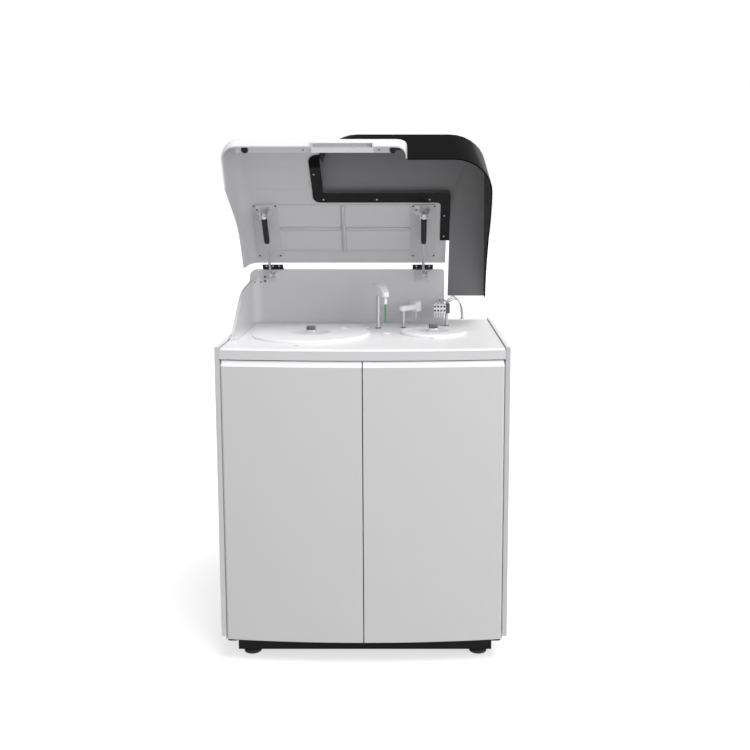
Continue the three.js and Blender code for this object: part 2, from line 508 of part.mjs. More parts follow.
function motor(well) {
  const { width, length, flange, flangeThick, corner, shaftRadius } = MOTOR;
  const top = deckBottom - FIT - well.tubDepth - FIT;
  const half = width / 2;
  const body = sweepZ(box(well.x - half, well.x + half, well.y - half, well.y + half, corner, 2), top - flangeThick - length, top - flangeThick);
  const plate = sweepZ(box(well.x - flange / 2, well.x + flange / 2, well.y - flange / 2, well.y + flange / 2, corner, 2), top - flangeThick, top);
  return join(body, plate, bar(well.x, well.y, shaftRadius, top - OVERRUN, top + TUB.wall, 20));
}

function portRing() {
  const { x, y, radius, wall, height, holeRadius, holeX, holeY } = PORT_RING;
  const low = DECK.top + FIT;
  const disc = turned([[0, low], [radius, low], [radius, low + height / 2], [radius - height / 2, low + height], [radius - wall, low + height], [radius - wall, low + height / 2], [0, low + height / 2]], x, y, 28);
  return cut(
    disc,
    bar(SAMPLE.x, SAMPLE.y, SAMPLE.coverRadius + FIT, low - OVERRUN, low + height + OVERRUN, 44),
    bar(PROBE.x, PROBE.y, PROBE.column + RUNNING * 2, low - OVERRUN, low + height + OVERRUN, 20),
    bar(holeX, holeY, holeRadius, low - OVERRUN, low + height + OVERRUN, 16),
  );
}

function washCup() {
  const { radius, bore, depth, rim, rimThick, wall } = WASH_CUP;
  const low = DECK.top + FIT;
  return turned(
    [[0, low - depth], [radius, low - depth], [radius, low], [rim, low], [rim, low + rimThick], [bore, low + rimThick], [bore, low - depth + wall], [0, low - depth + wall]],
    needleRest[0], needleRest[1], 18,
  );
}

function instrumentShelf() {
  const { z, thick, edge, front, rear } = SHELF;
  const half = innerHalf - FIT;
  return cut(
    block(-half, half, front, rear, z - edge, z),
    block(-half + thick, half - thick, front + thick, rear - thick, z - edge - OVERRUN, z - thick),
  );
}

// A frame on the shelf that carries the wells' motors, and the two lift rails behind the arms
function liftFrame() {
  const { plate, postHalf, postGap } = LIFT_FRAME;
  const low = SHELF.z + FIT;
  const posts = [PROBE, MIXER, WASH].map(({ x, y }) => {
    const face = y + CARRIAGE.half + postGap;
    return block(x - postHalf, x + postHalf, face, face + plate * 2, low, deckBottom - FIT);
  });
  const rearMost = Math.max(PROBE.y, MIXER.y, WASH.y) + CARRIAGE.half + postGap + plate * 2;
  const base = block(PROBE.x - postHalf, WASH.x + postHalf, Math.min(PROBE.y, MIXER.y) + CARRIAGE.half + postGap, rearMost, low, low + plate);
  return join(base, ...posts);
}

function carriage(arm) {
  const { height, half, top } = CARRIAGE;
  const { postHalf, postGap } = LIFT_FRAME;
  const shoeBack = arm.y + half + postGap + LIFT_FRAME.plate;
  const body = block(arm.x - half, arm.x + half, arm.y - half, shoeBack, top - height, top);
  return cut(
    body,
    bar(arm.x, arm.y, arm.column + RUNNING, top - height - OVERRUN, top + OVERRUN, 20),
    block(arm.x - postHalf - FIT, arm.x + postHalf + FIT, arm.y + half + postGap - FIT, shoeBack + OVERRUN, top - height - OVERRUN, top + OVERRUN),
  );
}

// Column, collar under the carriage and arm, drawn at rest
function columnBar(arm, top) {
  const { top: carriageTop, height, columnBottom } = CARRIAGE;
  const collar = arm.column * 2;
  return join(
    bar(arm.x, arm.y, arm.column, columnBottom, top, 20),
    bar(arm.x, arm.y, collar, carriageTop + FIT, carriageTop + collar, 16),
    bar(arm.x, arm.y, collar, columnBottom, carriageTop - height - FIT, 16),
  );
}

function probeArm() {
  const { reach, rest, armBottom, armTop, armRear, armHalf, noseHalf, needle, collar } = PROBE;
  const height = armTop - armBottom;
  const nose = reach + noseHalf;
  // Side view along the arm (u forward, v up), then cut to a tapering plan.
  const side = [[-armRear, armBottom], [nose, armBottom + height * 0.18], [nose, armBottom + height * 0.5], [reach * 0.72, armTop - height * 0.1], [reach * 0.3, armTop], [-armRear * 0.6, armTop], [-armRear, armBottom + height * 0.5]];
  const plan = rounded([[-armRear, -armHalf * 0.8, 6], [0, -armHalf, 0], [nose, -noseHalf, 6], [nose, noseHalf, 6], [0, armHalf, 0], [-armRear, armHalf * 0.8, 6]], 3);
  const shell = common(sweepY(side, -armHalf, armHalf), sweepZ(plan, armBottom - OVERRUN, armTop + OVERRUN));
  const drilled = cut(shell, bar(reach, 0, needle + FIT, armBottom - OVERRUN, armTop + OVERRUN, 16));
  const placed = drilled.rotateZ(rest * DEGREE).translate(PROBE.x, PROBE.y, 0);
  return join(placed, columnBar(PROBE, armBottom + collar));
}

function probeNeedle() {
  const { needle, needleTip, armBottom, armTop, collar, collarLength } = PROBE;
  const low = armBottom - collarLength;
  const high = armTop - (armTop - armBottom) * 0.3;
  return turned(
    [[0, needleTip], [needle * 0.3, needleTip], [needle, needleTip + OVERRUN], [needle, low], [collar, low + FIT], [collar, armBottom - FIT * 2], [needle, armBottom], [needle, high], [0, high]],
    needleRest[0], needleRest[1], 12,
  );
}

function mixerArm() {
  const { reach, rest, armBottom, armTop, blockDrop, blockRise, blockHalf, tailHalf, armRear, paddle } = MIXER;
  const plan = rounded([[-armRear, -tailHalf * 0.7, 4], [0, -tailHalf, 0], [reach - blockHalf, -tailHalf, 0], [reach - blockHalf, tailHalf, 0], [0, tailHalf, 0], [-armRear, tailHalf * 0.7, 4]], 2);
  const side = [[-armRear, armBottom + blockDrop], [reach, armBottom], [reach, armTop], [-armRear, armTop - blockDrop]];
  const beam = common(sweepZ(plan, armBottom - OVERRUN, armTop + OVERRUN), sweepY(side, -tailHalf, tailHalf));
  const head = sweepZ(box(reach - blockHalf, reach + blockHalf, -blockHalf, blockHalf, 4, 2), armBottom - blockDrop, armTop + blockRise);
  const bored = cut(join(beam, head), bar(reach, 0, paddle + RUNNING, armBottom - blockDrop - OVERRUN, armTop, 16));
  const placed = bored.rotateZ(rest * DEGREE).translate(MIXER.x, MIXER.y, 0);
  return join(placed, columnBar(MIXER, (armBottom + armTop) / 2));
}

function mixerPaddle() {
  const { paddle, paddleTip, armTop, bladeWide, bladeThick, bladeLong } = MIXER;
  const rod = bar(paddleRest[0], paddleRest[1], paddle, paddleTip + bladeLong / 2, armTop - RUNNING, 12);
  const blade = block(-bladeWide / 2, bladeWide / 2, -bladeThick / 2, bladeThick / 2, paddleTip, paddleTip + bladeLong).translate(paddleRest[0], paddleRest[1], 0);
  return join(rod, blade);
}

function washHead() {
  const { x, y, column, blockLeft, blockRight, blockHalf, bottom, top, bracket, nozzle, nozzleTip, nozzleRows, nozzleColumns } = WASH;
  const head = block(blockLeft, blockRight, y - blockHalf, y + blockHalf, bottom, top);
  const arm = block(blockRight - FIT, blockRight + bracket, y - blockHalf, y + blockHalf, bottom - FIT, top + FIT);
  const tips = Array.from({ length: nozzleRows * nozzleColumns }, (_, i) => {
    const row = i % nozzleRows;
    const place = Math.floor(i / nozzleRows);
    const spacing = (x - column * 2 - blockLeft) / nozzleColumns;
    return bar(blockLeft + spacing * (place + 0.5), y + (row - 0.5) * blockHalf, nozzle, nozzleTip, bottom + FIT, 8);
  });
  const { top: carriageTop, height, half } = CARRIAGE;
  const { postHalf, postGap, plate } = LIFT_FRAME;
  const shoeBack = y + half + postGap + plate;
  const shoe = cut(
    block(x - half, x + half, y - half, shoeBack, carriageTop - height, carriageTop),
    block(x - postHalf - FIT, x + postHalf + FIT, y + half + postGap - FIT, shoeBack + OVERRUN, carriageTop - height - OVERRUN, carriageTop + OVERRUN),
  );
  return join(head, arm, bar(x, y, column, carriageTop - FIT, bottom + FIT, 20), shoe, ...tips);
}

// Back upstand and left wing in one moulding, hollow from behind
function backUpstand() {
  const left = -(innerHalf - UPSTAND.wingGap);
  const { right, face, rear, top, skin, wingThick, wingFront, cornerFillet, footCove, endRound, leftRound } = UPSTAND;
  const low = DECK.top + FIT;
  const plan = rounded([[left, wingFront, 0], [left + wingThick, wingFront, 0], [left + wingThick, face, cornerFillet], [right, face, 0], [right, rear, 0], [left, rear, 0]], 6);
  const side = [[wingFront, low], ...wingEdge.slice(1), [face, top], [rear, top], [rear, low]];
  const front = rounded([[left, low, 0], [right, low, 0], [right, top, endRound], [left, top, leftRound]], 4);
  const body = common(sweepZ(plan, low, top), sweepX(side, left, right), sweepY(front, wingFront - OVERRUN, rear + OVERRUN));
  const coveArc = Array.from({ length: 5 }, (_, k) => {
    const angle = (k * Math.PI) / 8;
    return [footCove * (1 - Math.cos(angle)), footCove * (1 - Math.sin(angle))];
  });
  const backCove = sweepX([[face + skin / 2, low], [face + skin / 2, low + footCove], ...coveArc.map(([u, v]) => [face - u, low + v])], left + wingThick, right);
  const wingCove = sweepY([[left + wingThick - skin, low], [left + wingThick - skin, low + footCove], ...coveArc.map(([u, v]) => [left + wingThick + u, low + v])].reverse(), wingFront + wingThick * 2, face);
  const hollow = block(left + wingThick, right - skin, face + skin, rear + OVERRUN, low + skin, top - skin);
  return cut(join(body, backCove, wingCove), hollow);
}

// Lid
// Side outline, counter-clockwise in (Y, Z) from the front rim: bottom, back, four roof edges, brow and face.
// Towards the left side, reach 0 to 1, the roof comes down and the face goes back, which rounds the corner.
function lidOutline(wall, reach) {
  const { frontY: front, rimZ, frontHeight, rearY, browRound, sideDrop, sidePlan } = LID;
  const rearZ = rimZ + ROOF.ridgeRise + Math.tan(slope) * (rearY - ROOF.ridgeY);
  const lower = reach * sideDrop;
  const face = front + reach * sidePlan;
  const brow = rimZ + frontHeight - lower;
  const outline = [
    [face, rimZ], [rearY, rimZ], [rearY, rearZ - lower], [ROOF.ridgeY, rimZ + ROOF.ridgeRise - lower],
    [ROOF.shallowY, rimZ + ROOF.shallowRise - lower], [ROOF.steepY, rimZ + ROOF.steepRise - lower],
    [face + browRound, brow + browRound * 0.3], [face, brow - browRound * 0.7],
  ];
  return wall ? inset(outline, [-OVERRUN, -OVERRUN, wall, wall, wall, wall, wall, wall]) : outline;
}

function lidVolume(wall) {
  const steps = 6;
  const side = Array.from({ length: steps + 1 }, (_, k) => {
    const angle = (k * Math.PI) / (2 * steps);
    const sweepOut = lidCeilingLeft - lidLeft - wall;
    return { at: lidCeilingLeft - sweepOut * Math.sin(angle), outline: lidOutline(wall, 1 - Math.cos(angle)) };
  }).reverse();
  const right = { at: LID.right + (wall ? OVERRUN : 0), outline: lidOutline(wall, 0) };
  const end = LID.frontEnd - wall;
  const plan = rounded([
    [lidLeft - OVERRUN, LID.frontY + wall, 0], [end, LID.frontY + wall, LID.frontEndRound - wall], [end, HOOD.barRear / 2, 0],
    [LID.right + 2 * OVERRUN, HOOD.barRear / 2, 0], [LID.right + 2 * OVERRUN, LID.rearY + 2 * OVERRUN, 0], [lidLeft - OVERRUN, LID.rearY + 2 * OVERRUN, 0],
  ], 6);
  return common(loft([...side, right], ALONG_X), sweepZ(plan, LID.rimZ - 2 * OVERRUN, LID.hingeZ + HOOD.cornerRound));
}

function hoodPlan(grow, draft, leftRound = HOOD.cornerRound) {
  const { left, front, barRear, legLeft, right, rearRight, rear, cornerRound, innerRound, endRound, barRound } = HOOD;
  const behind = grow < 0 ? rear + OVERRUN : rear + grow;
  return rounded([
    [left - grow, front - grow, leftRound + grow], [right - draft + grow, front - grow, cornerRound + grow], [rearRight + grow, behind, endRound],
    [legLeft - grow, behind, endRound], [legLeft - grow, barRear + grow, innerRound], [left - grow, barRear + grow, barRound + grow],
  ], 8);
}

// Plans from the rim to the roof: the front left corner widens above the white shell's brow.
function hoodSections(grow) {
  const { top, wall, rightDraft, cornerRound, leftRimRound } = HOOD;
  const brow = LID.frontHeight / (top - wall - LID.rimZ);
  return [
    { at: LID.rimZ, outline: hoodPlan(grow, 0, leftRimRound) },
    { at: LID.rimZ + LID.frontHeight, outline: hoodPlan(grow, rightDraft * brow, leftRimRound) },
    { at: top - wall, outline: hoodPlan(grow, rightDraft, cornerRound) },
  ];
}

function lidShell() {
  const { rimZ, rearY, flangeWide, flangeRise, frontEnd, frontY: front, wall } = LID;
  const shell = cut(lidVolume(0), lidVolume(wall));
  const low = rimZ - 2 * OVERRUN;
  const high = LID.hingeZ + HOOD.cornerRound;
  const underWing = sweepX([[UPSTAND.wingFront, low], ...wingEdge.filter(([y]) => y < rearY).map(([y, z]) => [y, z + RUNNING * 4]), [rearY + OVERRUN, UPSTAND.top - UPSTAND.endRound], [rearY + OVERRUN, low]], lidLeft - OVERRUN, lidCeilingLeft);
  const { left: handleLeft, right: handleRight, height: handleHeight, rear: handleRear } = HANDLE;
  const flange = cut(
    block(lidCeilingLeft, frontEnd - LID.frontEndRound, front + wall / 2, front + wall + flangeWide, rimZ + flangeRise, rimZ + flangeRise + wall),
    block(handleLeft - FIT, handleRight + FIT, front - OVERRUN, handleRear + FIT + OVERRUN, low, high),
  );
  const notch = block(handleLeft - FIT, handleRight + FIT, front - OVERRUN, front + wall + OVERRUN, low, rimZ + handleHeight + FIT);
  const halves = toSolid(flange).decompose().map(toGeometry);
  const sections = hoodSections(FIT);
  const hoodSpace = loft([{ at: low, outline: sections[0].outline }, ...sections, { at: high, outline: sections[2].outline }]);
  const overPanel = block(lidLeft - OVERRUN, RUNNING - innerHalf, front - OVERRUN, UPSTAND.wingFront + OVERRUN, low, CABINET.panelTop + RUNNING);
  return join(cut(shell, underWing, overPanel, hoodSpace, notch), ...halves);
}

// Black hood over the right half: an L in plan with a flat top, its rim following the white shell
function hood() {
  const { left, front, barRear, legLeft, rearRight, rear, top, wall, flangeThick } = HOOD;
  const { rightDraft, rimFlatY, rimRearRise, rimSteps, barRound, innerRound, endRound } = HOOD;
  const flangeLine = left - HOOD.flangeLeft;
  const flangeFace = front + HOOD.flangeFront;
  const flangeBack = barRear + HOOD.flangeBar;
  const flangeInner = legLeft - HOOD.flangeLeg;
  const low = LID.rimZ;
  const body = loft([...hoodSections(0), { at: top, outline: hoodPlan(-wall / 2, rightDraft).map(([x, y]) => [x, Math.min(y, rear)]) }]);
  const hollow = loft([{ at: low - OVERRUN, outline: hoodPlan(-wall, 0, HOOD.leftRimRound) }, ...hoodSections(-wall)]);
  // Underside of the flange, as a side outline that follows the inside of the white shell.
  const seat = inset(lidOutline(0, 0), [0, 0, ...Array(5).fill(LID.wall + FIT), LID.wall + FIT]);
  const under = inset(lidOutline(0, 0), [0, 0, ...Array(5).fill(LID.wall + FIT + flangeThick), LID.wall + FIT + flangeThick]);
  const band = (line) => [[line[0][0] - 2 * OVERRUN, low - 2 * OVERRUN], [rear + 2 * OVERRUN, low - 2 * OVERRUN], [rear + 2 * OVERRUN, line[2][1]], line[2], line[3], line[4], line[5], line[6], line[7], [line[7][0] - 2 * OVERRUN, line[7][1]]];
  const belowBar = sweepX(band(under), flangeLine - OVERRUN, LID.frontEnd + FIT);
  const belowLeg = common(
    sweepX(band(under), LID.frontEnd - OVERRUN, legLeft + wall + FIT),
    sweepZ([[LID.frontEnd - OVERRUN, front + wall + FIT], [legLeft + wall + FIT, front + wall + FIT], [legLeft + wall + FIT, rear + OVERRUN], [LID.frontEnd - OVERRUN, rear + OVERRUN]], low - OVERRUN, top),
  );
  const rim = Array.from({ length: rimSteps + 1 }, (_, k) => {
    const share = k / rimSteps;
    return [rimFlatY + share * (rear + OVERRUN - rimFlatY), low + rimRearRise * Math.sin((share * Math.PI) / 2) ** 2];
  });
  const belowRim = sweepX([[rimFlatY, low - OVERRUN], [rear + OVERRUN, low - OVERRUN], ...rim.reverse()], legLeft + 2 * wall + barRound, rearRight + OVERRUN);
  const roof = cut(body, hollow, belowBar, belowLeg, belowRim);
  // Flange under the white shell, left of and behind the bar and left of the leg.
  const ring = cut(
    sweepZ(rounded([
      [flangeLine, flangeFace, HOOD.flangeFront], [legLeft + wall, flangeFace, 0], [legLeft + wall, HOOD.flangeEnd, 0],
      [flangeInner, HOOD.flangeEnd, endRound], [flangeInner, flangeBack, innerRound], [flangeLine, flangeBack, HOOD.flangeRound],
    ], 5), low, top),
    hollow,
  );
  const slab = cut(
    sweepX(band(seat), flangeLine - OVERRUN, legLeft + wall),
    sweepX(band(under), flangeLine - 2 * OVERRUN, legLeft + wall + OVERRUN),
  );
  return join(roof, common(ring, slab));
}

function handle() {
  const { left, right, proud, height, rear, channelFront, channelRear, channelDeep, end } = HANDLE;
  const { frontY: front, rimZ } = LID;
  const round = proud / 3;
  const outline = rounded([[front - proud, rimZ, round], [rear, rimZ, 0], [rear, rimZ + height, 0], [front, rimZ + height, 0], [front - proud, rimZ + height / 2, round]], 3);
  return cut(
    sweepX(outline, left, right),
    block(left + end, right - end, channelFront, channelRear, rimZ - OVERRUN, rimZ + channelDeep),
  );
}

function bumper(x) {
  const { radius, height, y } = BUMPER;
  const top = LID.rimZ + LID.flangeRise - FIT;
  return turned([[0, top - height], [radius * 0.8, top - height], [radius, top - height / 2], [radius, top], [0, top]], x, y, 14);
}

// Butt hinge: fixed leaf on the upstand, moving leaf on the lid, knuckles in turn along the axis
function knuckles(x, y, z, first) {
  const { width, knuckle, knuckles: count } = HINGE;
  const length = width / count;
  return Array.from({ length: count }, (_, i) => i)
    .filter((i) => i % 2 === first)
    .map((i) => barAlongX(y, z, knuckle, x - width / 2 + i * length + FIT, x - width / 2 + (i + 1) * length - FIT, 14));
}

function fixedLeaf(x) {
  const { width, leaf, fixedDepth, knuckle } = HINGE;
  const low = UPSTAND.top + FIT;
  const plate = block(x - width / 2, x + width / 2, LID.hingeY + knuckle + RUNNING, LID.hingeY + fixedDepth, low, low + leaf);
  const roots = knuckles(x, LID.hingeY, LID.hingeZ, 0).map((barrel, i) => {
    const length = width / HINGE.knuckles;
    const from = x - width / 2 + 2 * i * length + FIT;
    return join(barrel, block(from, from + length - 2 * FIT, LID.hingeY, LID.hingeY + knuckle + 2 * RUNNING, low, low + leaf));
  });
  return join(plate, ...roots);
}

// Drawn in the ceiling's frame
function movingLeaf(x) {
  const { width, leaf, movingReach, knuckle } = HINGE;
  const plate = block(x - width / 2, x + width / 2, -movingReach, -knuckle - RUNNING, -FIT - leaf, -FIT);
  const roots = knuckles(x, 0, 0, 1).map((barrel, i) => {
    const length = width / HINGE.knuckles;
    const from = x - width / 2 + (2 * i + 1) * length + FIT;
    return join(barrel, block(from, from + length - 2 * FIT, -knuckle - 2 * RUNNING, 0, -FIT - leaf, -FIT));
  });
  return join(plate, ...roots);
}

// The springs' upper pivot, closed and open, in the plane across the hinge
const upperClosed = new THREE.Vector2(-SPRING.upperForward, -SPRING.upperDown);
const upperOnCeiling = upperClosed.clone().rotateAround(new THREE.Vector2(), -slope);
const upperOpen = upperClosed.clone().rotateAround(new THREE.Vector2(), -LID.openAngle * DEGREE).add(new THREE.Vector2(LID.hingeY, LID.hingeZ));
const springLine = upperOpen.clone().sub(new THREE.Vector2(SPRING.lowerY, SPRING.lowerZ));
const springLength = springLine.length();
const springFoot = new THREE.Vector2(SPRING.lowerY - LID.hingeY, SPRING.lowerZ - LID.hingeZ);
const springStroke = springLength - upperClosed.distanceTo(springFoot);

function liftPlate(x) {
  const { halfWidth, near, far, thick, ear, earOffset, earHalf, stud } = PLATE;
  const plate = sweepZ(box(x - halfWidth, x + halfWidth, -far, -near, earHalf / 2, 3), -FIT - thick, -FIT);
  const { x: pivotAlong, y: pivotUp } = upperOnCeiling;
  const wing = sweepX([[pivotAlong - earHalf, pivotUp - earHalf / 2], [pivotAlong, pivotUp - earHalf], [pivotAlong + earHalf, pivotUp - earHalf / 2], [pivotAlong + 2 * earHalf, -FIT - thick / 2], [pivotAlong - earHalf, -FIT - thick / 2]], x + earOffset, x + earOffset + ear);
  return join(plate, wing, barAlongX(pivotAlong, pivotUp, stud, x + SPRING.eyeHalf + RUNNING, x + earOffset + ear / 2, 12));
}

function springBracket(x) {
  const { halfWidth, thick, height, topDrop, ear, earHalf } = BRACKET;
  const { lowerY, lowerZ } = SPRING;
  const back = UPSTAND.face - FIT;
  const top = UPSTAND.top - topDrop;
  const plate = block(x - halfWidth, x + halfWidth, back - thick, back, top - height, top);
  const wing = sweepX([[back - thick / 2, lowerZ - earHalf], [back - thick / 2, lowerZ + earHalf], [lowerY, lowerZ + earHalf], [lowerY - earHalf, lowerZ], [lowerY, lowerZ - earHalf]], x + PLATE.earOffset, x + PLATE.earOffset + ear);
  return join(plate, wing, barAlongX(lowerY, lowerZ, PLATE.stud, x + SPRING.eyeHalf + RUNNING, x + PLATE.earOffset + ear / 2, 12));
}

// Drawn upright along +Z from the lower pivot
function springRod(x) {
  const { rod, rodInside, eye, eyeHalf, tubeLength } = SPRING;
  const end = springLength - eye - tubeLength + rodInside;
  return join(bar(x, 0, rod, eye / 2, end, 14), barAlongX(0, 0, eye, x - eyeHalf, x + eyeHalf, 14));
}

function springTube(x) {
  const { rod, tube, tubeLength, eye, eyeHalf, rodInside } = SPRING;
  const top = springLength - eye / 2;
  const low = springLength - eye - tubeLength;
  const bore = low + rodInside + springStroke + OVERRUN;
  const body = turned([[rod + RUNNING, low], [tube * 0.8, low], [tube, low + rod / 2], [tube, top - eye], [rod, top], [0, top], [0, bore], [rod + RUNNING, bore], [rod + RUNNING, low]], x, 0, 18);
  return join(body, barAlongX(0, springLength, eye, x - eyeHalf, x + eyeHalf, 14));
}

// Fluid tanks, vented power box, pump and lamp
function tank(x) {
  const { width, depth, height, round, shoulder, neck, neckHeight, cap, capHeight, y } = TANK;
  const low = DOOR.bottom + TRAY.thick + FIT;
  const outline = (shrink) => box(x - width / 2 + shrink, x + width / 2 - shrink, y - depth / 2 + shrink, y + depth / 2 - shrink, round, 3);
  const body = loft([
    { at: low, outline: outline(round / 4) }, { at: low + round / 4, outline: outline(0) }, { at: low + height - shoulder, outline: outline(0) }, { at: low + height, outline: outline(shoulder) },
  ]);
  const top = low + height;
  return join(body, bar(x, y, neck, top - OVERRUN, top + neckHeight, 20), bar(x, y, cap, top + neckHeight / 2, top + neckHeight / 2 + capHeight, 20));
}

function powerBox() {
  const { width, depth, height, sideGap, y, skin, slot, slotPitch, slotCount } = POWER;
  const x = innerHalf - sideGap - width / 2;
  const low = DOOR.bottom + TRAY.thick + FIT;
  const front = y - depth / 2;
  const slots = Array.from({ length: slotCount }, (_, i) => {
    const z = low + height / 4 + i * slotPitch;
    return block(x - width / 3, x + width / 3, front - OVERRUN, front + skin + OVERRUN, z, z + slot);
  });
  const inside = block(x - width / 2 + skin, x + width / 2 - skin, front + skin, y + depth / 2 - skin, low + skin, low + height - skin);
  return cut(sweepZ(box(x - width / 2, x + width / 2, front, y + depth / 2, POWER.foot, 2), low, low + height), inside, ...slots);
}

function syringePump() {
  const { width, depth, height, sideGap, y, barrel, barrelLength, barrelDrop, head } = PUMP;
  const x = sideGap + width / 2 - innerHalf;
  const low = SHELF.z + FIT;
  const body = sweepZ(box(x - width / 2, x + width / 2, y, y + depth, POWER.foot, 2), low, low + height);
  const barrels = [-1, 1].flatMap((side) => {
    const bx = x + (side * width) / 4;
    const top = low + height - barrelDrop;
    return [bar(bx, y - barrel, barrel, top - barrelLength, top - head, 16), block(bx - head / 2, bx + head / 2, y - 2 * barrel, y + FIT, top - head - FIT, top), block(bx - head / 2, bx + head / 2, y - 2 * barrel, y + FIT, top - barrelLength - head / 2, top - barrelLength + FIT)];
  });
  return join(body, ...barrels);
}

function lampHouse() {
  const { width, depth, height, fin, finPitch, finCount, finHeight } = LAMP;
  const x0 = REACTION.x + REACTION.tubRadius + RUNNING;
  const top = deckBottom - FIT - TUB.rimThick - TUB.rim;
  const body = block(x0, x0 + width, REACTION.y - depth / 2, REACTION.y + depth / 2, top - height, top - finHeight);
  const fins = Array.from({ length: finCount }, (_, i) => {
    const x = x0 + finPitch * (i + 1);
    return block(x, x + fin, REACTION.y - depth / 2, REACTION.y + depth / 2, top - finHeight - FIT, top);
  });
  return join(body, ...fins);
}

// Mains inlet with its rocker switch, let into the rear panel
function powerInlet() {
  const { wall, depth, proud, switchWidth, switchHeight, switchOffset } = INLET;
  const x = inletX;
  const { inletZ: z, inletWidth: w, inletHeight: h } = REAR;
  const back = CABINET.depth - proud / 2 + RUNNING;
  const body = join(
    block(x - w / 2 + FIT, x + w / 2 - FIT, back - depth, back, z - h / 2 + FIT, z + h / 2 - FIT),
  );
  return cut(
    body,
    block(x - switchOffset - (switchWidth / 2 + FIT), x - switchOffset + (switchWidth / 2 + FIT), back - depth + wall, back + OVERRUN, z - switchHeight / 2 - FIT, z + switchHeight / 2 + FIT),
    sweepY(box(x - wall, x + w / 2 - 2 * wall, z - h / 4, z + h / 4, wall, 2), back - depth + wall, back + OVERRUN),
  );
}

function rocker() {
  const { switchWidth, switchHeight, switchProud, switchAngle, switchOffset, depth, wall } = INLET;
  const x = inletX - switchOffset;
  const z = REAR.inletZ;
  const face = CABINET.depth - switchProud;
  const half = switchHeight / 2 - 2 * RUNNING;
  const outline = [[wall - depth / 2, -half / 3], [-wall, -half], [0, -half], [-wall / 2, 0], [0, half], [-wall, half], [wall - depth / 2, half / 3]];
  return sweepX(outline.map(([u, v]) => [u + wall, v]), x - switchWidth / 2, x + switchWidth / 2)
    .rotateX((-switchAngle / 2) * DEGREE)
    .translate(0, face - wall, z);
}

// Assembly
for (const [side, name] of [[-1, "left"], [1, "right"]]) {
  piece(cabinet, `side_panel_${name}`, sidePanel(side), WHITE_PAINT);
  piece(cabinet, `foot_front_${name}`, foot(side, FOOT.front), BLACK_RUBBER);
  piece(cabinet, `foot_rear_${name}`, foot(side, FOOT.rear), BLACK_RUBBER);
  piece(cabinet, `door_${name}`, door(side), WHITE_PAINT);
}
piece(cabinet, "plinth", plinth(), BLACK_STEEL);
piece(cabinet, "floor_tray", floorTray(), GALVANISED);
piece(cabinet, "rear_panel", rearPanel(), WHITE_PAINT);
piece(cabinet, "front_beam", frontBeam(), WHITE_PAINT);
piece(cabinet, "worktop", worktop(), WHITE_MOULDING);
piece(cabinet, "instrument_shelf", instrumentShelf(), GALVANISED);
piece(cabinet, "back_upstand", backUpstand(), GREY_MOULDING);

const samplePorts = [around(PROBE, PROBE.reach, PROBE.overSample)];
const reactionPorts = [around(PROBE, PROBE.reach, PROBE.overReaction), around(MIXER, MIXER.reach, MIXER.overReaction)];
piece(cabinet, "sample_tub", tub(SAMPLE, SAMPLE.tubDepth), ALUMINIUM);
piece(cabinet, "reaction_tub", tub(REACTION, REACTION.tubDepth), ALUMINIUM);
piece(cabinet, "sample_rotor", sampleRotor(), GREY_MOULDING);
piece(cabinet, "reaction_rotor", reactionRotor(), BLACK_PLASTIC);
piece(cabinet, "sample_cover", cover(SAMPLE, COVER.sampleRecess, samplePorts), WHITE_MOULDING);
piece(cabinet, "reaction_cover", cover(REACTION, COVER.reactionRecess, reactionPorts), WHITE_MOULDING);
piece(cabinet, "sample_cover_knob", knob(SAMPLE), KNOB_METAL);
piece(cabinet, "reaction_cover_knob", knob(REACTION), KNOB_METAL);
piece(cabinet, "sample_motor", motor(SAMPLE), BLACK_STEEL);
piece(cabinet, "reaction_motor", motor(REACTION), BLACK_STEEL);
piece(cabinet, "port_ring", portRing(), WHITE_MOULDING);
piece(cabinet, "wash_cup", washCup(), WHITE_MOULDING);

piece(cabinet, "lift_frame", liftFrame(), GALVANISED);
piece(cabinet, "probe_carriage", carriage(PROBE), ALUMINIUM);
piece(cabinet, "probe_arm", probeArm(), WHITE_MOULDING);
piece(cabinet, "probe_needle", probeNeedle(), GREEN_PLASTIC);
piece(cabinet, "mixer_carriage", carriage(MIXER), ALUMINIUM);
piece(cabinet, "mixer_arm", mixerArm(), WHITE_MOULDING);
piece(cabinet, "mixer_paddle", mixerPaddle(), BRIGHT_STEEL);
piece(cabinet, "wash_head", washHead(), BLACK_PLASTIC);
piece(cabinet, "wash_hoses", washHoses(), HOSE_PLASTIC);

const waterX = TANK.sideGap + TANK.width / 2 - innerHalf;
piece(cabinet, "water_tank", tank(waterX), TANK_PLASTIC);
piece(cabinet, "waste_tank", tank(waterX + TANK.pitch), TANK_PLASTIC);
piece(cabinet, "power_box", powerBox(), GALVANISED);
piece(cabinet, "syringe_pump", syringePump(), ALUMINIUM);
piece(cabinet, "lamp_house", lampHouse(), ALUMINIUM);
piece(cabinet, "power_inlet", powerInlet(), BLACK_PLASTIC);
piece(cabinet, "mains_switch", rocker(), BLACK_PLASTIC);

